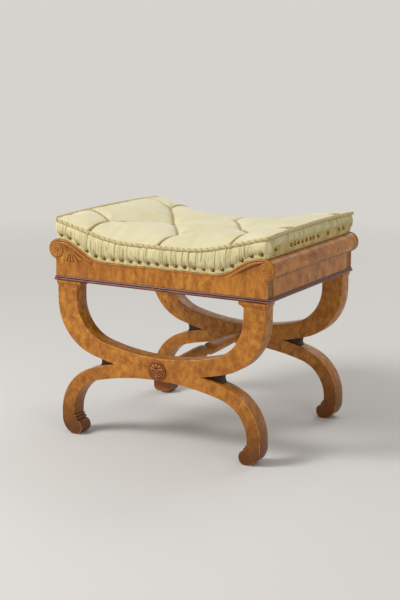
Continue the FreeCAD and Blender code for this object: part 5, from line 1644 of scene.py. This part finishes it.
def make_braid():
    """Gold braid under the side nails: uneven ribs across a narrow strip."""
    gold = gold_braid("gold_silk_braid")
    rows, step = 14, 0.7 * MM
    reach = FACE_Y - 5 * MM
    y = np.linspace(-reach, reach, int(2 * reach / step))
    a, v = np.meshgrid(y, np.linspace(0, 1, rows), indexing="ij")
    phase, strong = gather_phase(a + 1.5 * MM * (v - 0.5) * wobble(a, 25 * MM, 61), 3.1 * MM, 60)
    which = np.floor(phase).astype(int)
    part = phase - which
    ridge = np.abs(np.sin(math.pi * part)) ** 0.6 * strong[which % 420]
    crown = np.sin(math.pi * np.clip(v, 0.02, 0.98)) ** 0.4
    wave = 1.1 * MM * wobble(a, 33 * MM, 62)
    base, tall = SCROLL_TOP + 2.5 * MM, BRAID_HIGH.z - SCROLL_TOP - 1.5 * MM
    z = base + tall * v + wave * (0.3 + v) + 0.5 * MM * wobble(a, 5 * MM, 63) * (2 * v - 1)
    face = BRAID_LOW.x + 0.6 * MM + (1.0 + 1.5 * ridge) * MM * crown
    inner = np.full_like(face, BRAID_LOW.x - 1.2 * MM)
    shell = np.concatenate([face, inner[:, ::-1]], axis=1)
    z = np.concatenate([z, z[:, ::-1]], axis=1)
    wide = np.concatenate([a, a[:, ::-1]], axis=1)
    # Painted shade between the ribs of the braid.
    hollow = np.concatenate([1 - np.clip(ridge, 0, 1), np.zeros_like(ridge)], axis=1)
    strip = make_piece("braid_right", np.stack([shell, wide, z], -1).reshape(-1, 3),
                       strip_faces(*wide.shape), hollow=hollow.reshape(-1) * 0.8)
    turn_outwards(strip)
    place_both(strip, "gold_braid", material=gold, angle=180)


def make_dust_cloth():
    """Black cotton stretched under the rails, notched round the caps and sagging a little."""
    cotton = coarse_weave("black_cotton", "#3B3833", 1400)
    low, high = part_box("bottom_cloth")
    cap_low, cap_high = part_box("front_right_post_cap")
    notch_x, notch_y = cap_low.x - 0.3 * MM, -cap_high.y - 0.3 * MM
    step = 9 * MM

    def ruler(half, notch):
        inside = np.linspace(0, notch, int(notch / step) + 1)
        outside = np.linspace(notch, half, 4)[1:]
        positive = np.concatenate([inside, outside])
        return np.concatenate([-positive[:0:-1], positive])

    xs, ys = ruler(high.x, notch_x), ruler(high.y, notch_y)
    x, y = np.meshgrid(xs, ys, indexing="ij")
    sag = 5 * MM * np.cos(math.pi * x / (2 * high.x)) * np.cos(math.pi * y / (2 * high.y))
    sag += 0.5 * MM * wobble(x + y, 28 * MM, 91) * wobble(x - y, 35 * MM, 92) * (sag > 1 * MM)
    lower = np.stack([x, y, np.full_like(x, low.z) - sag], -1)
    upper = np.stack([x, y, np.full_like(x, high.z - 0.1 * MM) - sag], -1)
    columns, rows = x.shape
    count = columns * rows
    kept = np.zeros((columns - 1, rows - 1), bool)
    for i in range(columns - 1):
        for j in range(rows - 1):
            middle_x, middle_y = abs(xs[i] + xs[i + 1]) / 2, abs(ys[j] + ys[j + 1]) / 2
            kept[i, j] = not (middle_x > notch_x and middle_y > notch_y)
    faces, edges = [], {}
    for i in range(columns - 1):
        for j in range(rows - 1):
            if kept[i, j]:
                quad = (i * rows + j, (i + 1) * rows + j, (i + 1) * rows + j + 1, i * rows + j + 1)
                faces.append(tuple(count + k for k in quad))
                faces.append(quad[::-1])
                for a, b in zip(quad, quad[1:] + quad[:1]):
                    edges[(a, b)] = True
    for a, b in list(edges):
        if (b, a) not in edges:
            faces.append((a, b, count + b, count + a))
    cloth = make_piece("dust_cloth", np.concatenate([lower.reshape(-1, 3), upper.reshape(-1, 3)]), faces)
    work = bmesh.new()
    work.from_mesh(cloth.data)
    bmesh.ops.delete(work, geom=[v for v in work.verts if not v.link_faces], context="VERTS")
    work.to_mesh(cloth.data)
    work.free()
    place(cloth, "dust_cloth", "bottom_cloth", material=cotton, angle=30)


# Stage

CAMERA_PLACE = Vector((1500.9, -2720.2, 957.7)) * MM
CAMERA_BACK = Vector((0.47725, -0.85483, 0.20370))
CAMERA_ROLL = math.radians(0.38)
CAMERA_LENS = 78.8


def straight_sight(node):
    """1 for rays the camera sees straight on, in a reflection or through glass, and 0 for all others."""
    rays = node("ShaderNodeLightPath").outputs
    seen = node(MATH, {0: rays["Is Camera Ray"], 1: rays["Is Glossy Ray"]}, operation="MAXIMUM")
    return node(MATH, {0: seen, 1: rays["Is Transmission Ray"]}, operation="MAXIMUM")


def make_stage():
    """Camera at the photo's own place, a pale floor that fades into the backdrop, and three lamps."""
    tint = colours()
    scene = bpy.context.scene
    camera = bpy.data.objects.new("camera", bpy.data.cameras.new("camera"))
    scene.collection.objects.link(camera)
    ahead = -CAMERA_BACK.normalized()
    right = ahead.cross(Vector((0, 0, 1))).normalized()
    up = right.cross(ahead)
    cosine, sine = math.cos(CAMERA_ROLL), math.sin(CAMERA_ROLL)
    right, up = right * cosine + up * sine, up * cosine - right * sine
    camera.matrix_world = Matrix((right, up, -ahead)).transposed().to_4x4()
    camera.location = CAMERA_PLACE
    camera.data.lens, camera.data.sensor_width = CAMERA_LENS, 36
    scene.camera = camera
    backdrop = linear("#D6D3CE")

    floor_mesh = bpy.data.meshes.new("floor")
    reach = 30.0
    corners = [(-reach, -reach, 0), (reach, -reach, 0), (reach, reach, 0), (-reach, reach, 0)]
    floor_mesh.from_pydata(corners, [], [(0, 1, 2, 3)])
    floor = bpy.data.objects.new("floor", floor_mesh)
    scene.collection.objects.link(floor)
    # The floor passes into the plain backdrop between 0.7 and 3.6 m from the stool.
    material, node, shader, spot = new_material("studio_floor", {"Roughness": 0.9, "Base Color": tint.floor})
    away = node(VECTOR_MATH, {0: spot}, operation="LENGTH").outputs["Value"]
    fade = node(MAP_RANGE, {"Value": away, "From Min": 0.7, "From Max": 3.6})
    fade = node(MATH, {0: fade, 1: straight_sight(node)}, operation="MULTIPLY")
    pale = node("ShaderNodeEmission", {"Color": backdrop, "Strength": 1.0})
    blend = node("ShaderNodeMixShader", {0: fade, 1: shader, 2: pale})
    output = next(n for n in material.node_tree.nodes if n.bl_idname == "ShaderNodeOutputMaterial")
    connect(output, {"Surface": blend})
    floor_mesh.materials.append(material)

    world = bpy.data.worlds.new("studio")
    scene.world = world
    world.use_nodes = True
    world.node_tree.nodes.clear()
    node = partial(add, world.node_tree)
    pale = node("ShaderNodeBackground", {"Color": backdrop, "Strength": 1.0})
    soft = node("ShaderNodeBackground", {"Color": (1, 0.99, 0.97), "Strength": 0.38})
    choice = node("ShaderNodeMixShader", {0: straight_sight(node), 1: soft, 2: pale})
    node("ShaderNodeOutputWorld", {"Surface": choice})

    def lamp(name, spot, power, size):
        light = bpy.data.objects.new(name, bpy.data.lights.new(name, "AREA"))
        light.data.energy, light.data.size = power, size
        light.location = spot
        light.rotation_euler = (Vector((0, 0, 0.3)) - Vector(spot)).to_track_quat("-Z", "Y").to_euler()
        scene.collection.objects.link(light)

    lamp("key", (-1.7, -2.1, 2.4), 78, 1.1)
    lamp("fill", (2.6, -1.2, 1.5), 11, 1.6)
    lamp("back", (0.4, 2.4, 2.6), 24, 1.6)
    scene.view_settings.view_transform = "Standard"


class STOOL_OT_frames(bpy.types.Operator):
    """Build the arches and the pendants under their crossings"""

    bl_idname = "stool.frames"
    bl_label = "Crossed Frames"

    def execute(self, context):
        make_frames()
        return {"FINISHED"}


class STOOL_OT_caps(bpy.types.Operator):
    """Build the caps between the posts and the seat"""

    bl_idname = "stool.caps"
    bl_label = "Post Caps"

    def execute(self, context):
        make_caps()
        return {"FINISHED"}


class STOOL_OT_rosettes(bpy.types.Operator):
    """Carve the rosettes over the crossings"""

    bl_idname = "stool.rosettes"
    bl_label = "Rosettes"

    def execute(self, context):
        make_rosettes()
        return {"FINISHED"}


class STOOL_OT_inner_parts(bpy.types.Operator):
    """Give the stretcher and the parts inside the seat their finishes"""

    bl_idname = "stool.inner_parts"
    bl_label = "Stretcher and Inner Parts"

    def execute(self, context):
        dress_inner_parts()
        return {"FINISHED"}


class STOOL_OT_aprons(bpy.types.Operator):
    """Carve the front and back aprons with their scrolls"""

    bl_idname = "stool.aprons"
    bl_label = "Scrolled Aprons"

    def execute(self, context):
        make_aprons()
        return {"FINISHED"}


class STOOL_OT_ends(bpy.types.Operator):
    """Build the end aprons and the rolls above them"""

    bl_idname = "stool.ends"
    bl_label = "Ends and Rolls"

    def execute(self, context):
        make_ends()
        return {"FINISHED"}


class STOOL_OT_mouldings(bpy.types.Operator):
    """Run the mitred base moulding"""

    bl_idname = "stool.mouldings"
    bl_label = "Mouldings"

    def execute(self, context):
        make_mouldings()
        return {"FINISHED"}


class STOOL_OT_cushion(bpy.types.Operator):
    """Blow up and sew the tufted cushion"""

    bl_idname = "stool.cushion"
    bl_label = "Tufted Cushion"

    def execute(self, context):
        make_cushion()
        return {"FINISHED"}


class STOOL_OT_bands(bpy.types.Operator):
    """Gather the silk bands round the sides of the cushion"""

    bl_idname = "stool.bands"
    bl_label = "Gathered Bands"

    def execute(self, context):
        make_bands()
        return {"FINISHED"}


class STOOL_OT_piping(bpy.types.Operator):
    """Twist the cord round the cushion and the cords in its pleats"""

    bl_idname = "stool.piping"
    bl_label = "Twisted Cords"

    def execute(self, context):
        make_piping()
        return {"FINISHED"}


class STOOL_OT_braid(bpy.types.Operator):
    """Lay the gold braid along the short sides"""

    bl_idname = "stool.braid"
    bl_label = "Gold Braid"

    def execute(self, context):
        make_braid()
        return {"FINISHED"}


class STOOL_OT_nails(bpy.types.Operator):
    """Drive the rows of domed nails"""

    bl_idname = "stool.nails"
    bl_label = "Domed Nails"

    def execute(self, context):
        make_nails()
        return {"FINISHED"}


class STOOL_OT_dust_cloth(bpy.types.Operator):
    """Stretch the dust cloth under the seat"""

    bl_idname = "stool.dust_cloth"
    bl_label = "Dust Cloth"

    def execute(self, context):
        make_dust_cloth()
        return {"FINISHED"}


class STOOL_OT_stage(bpy.types.Operator):
    """Set up the camera, floor, backdrop and studio lamps"""

    bl_idname = "stool.stage"
    bl_label = "Studio"

    def execute(self, context):
        make_stage()
        return {"FINISHED"}


STEPS = (STOOL_OT_frames, STOOL_OT_caps, STOOL_OT_rosettes, STOOL_OT_inner_parts, STOOL_OT_aprons,
         STOOL_OT_ends, STOOL_OT_mouldings, STOOL_OT_cushion, STOOL_OT_bands, STOOL_OT_piping,
         STOOL_OT_braid, STOOL_OT_nails, STOOL_OT_dust_cloth, STOOL_OT_stage)


class STOOL_PT_build(bpy.types.Panel):
    """Lists the steps that build the stool, with its sizes and colours"""

    bl_idname = "STOOL_PT_build"
    bl_label = "X-Frame Stool"
    bl_space_type = "VIEW_3D"
    bl_region_type = "UI"
    bl_category = "Stool"

    def draw(self, context):
        for step in STEPS:
            self.layout.operator(step.bl_idname)
        scene = context.scene
        for group, kind in ((scene.stool_sizes, StoolSizes), (scene.stool_colours, StoolColours)):
            box = self.layout.box()
            for name in kind.__annotations__:
                box.prop(group, name)


CLASSES = (StoolSizes, StoolColours, *STEPS, STOOL_PT_build)


def register():
    for kind in CLASSES:
        bpy.utils.register_class(kind)
    bpy.types.Scene.stool_sizes = bpy.props.PointerProperty(type=StoolSizes)
    bpy.types.Scene.stool_colours = bpy.props.PointerProperty(type=StoolColours)


def unregister():
    del bpy.types.Scene.stool_colours
    del bpy.types.Scene.stool_sizes
    for kind in reversed(CLASSES):
        bpy.utils.unregister_class(kind)


def main():
    register()
    for step in STEPS:
        group, name = step.bl_idname.split(".")
        getattr(getattr(bpy.ops, group), name)()
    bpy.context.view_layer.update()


if __name__ == "__main__":
    main()
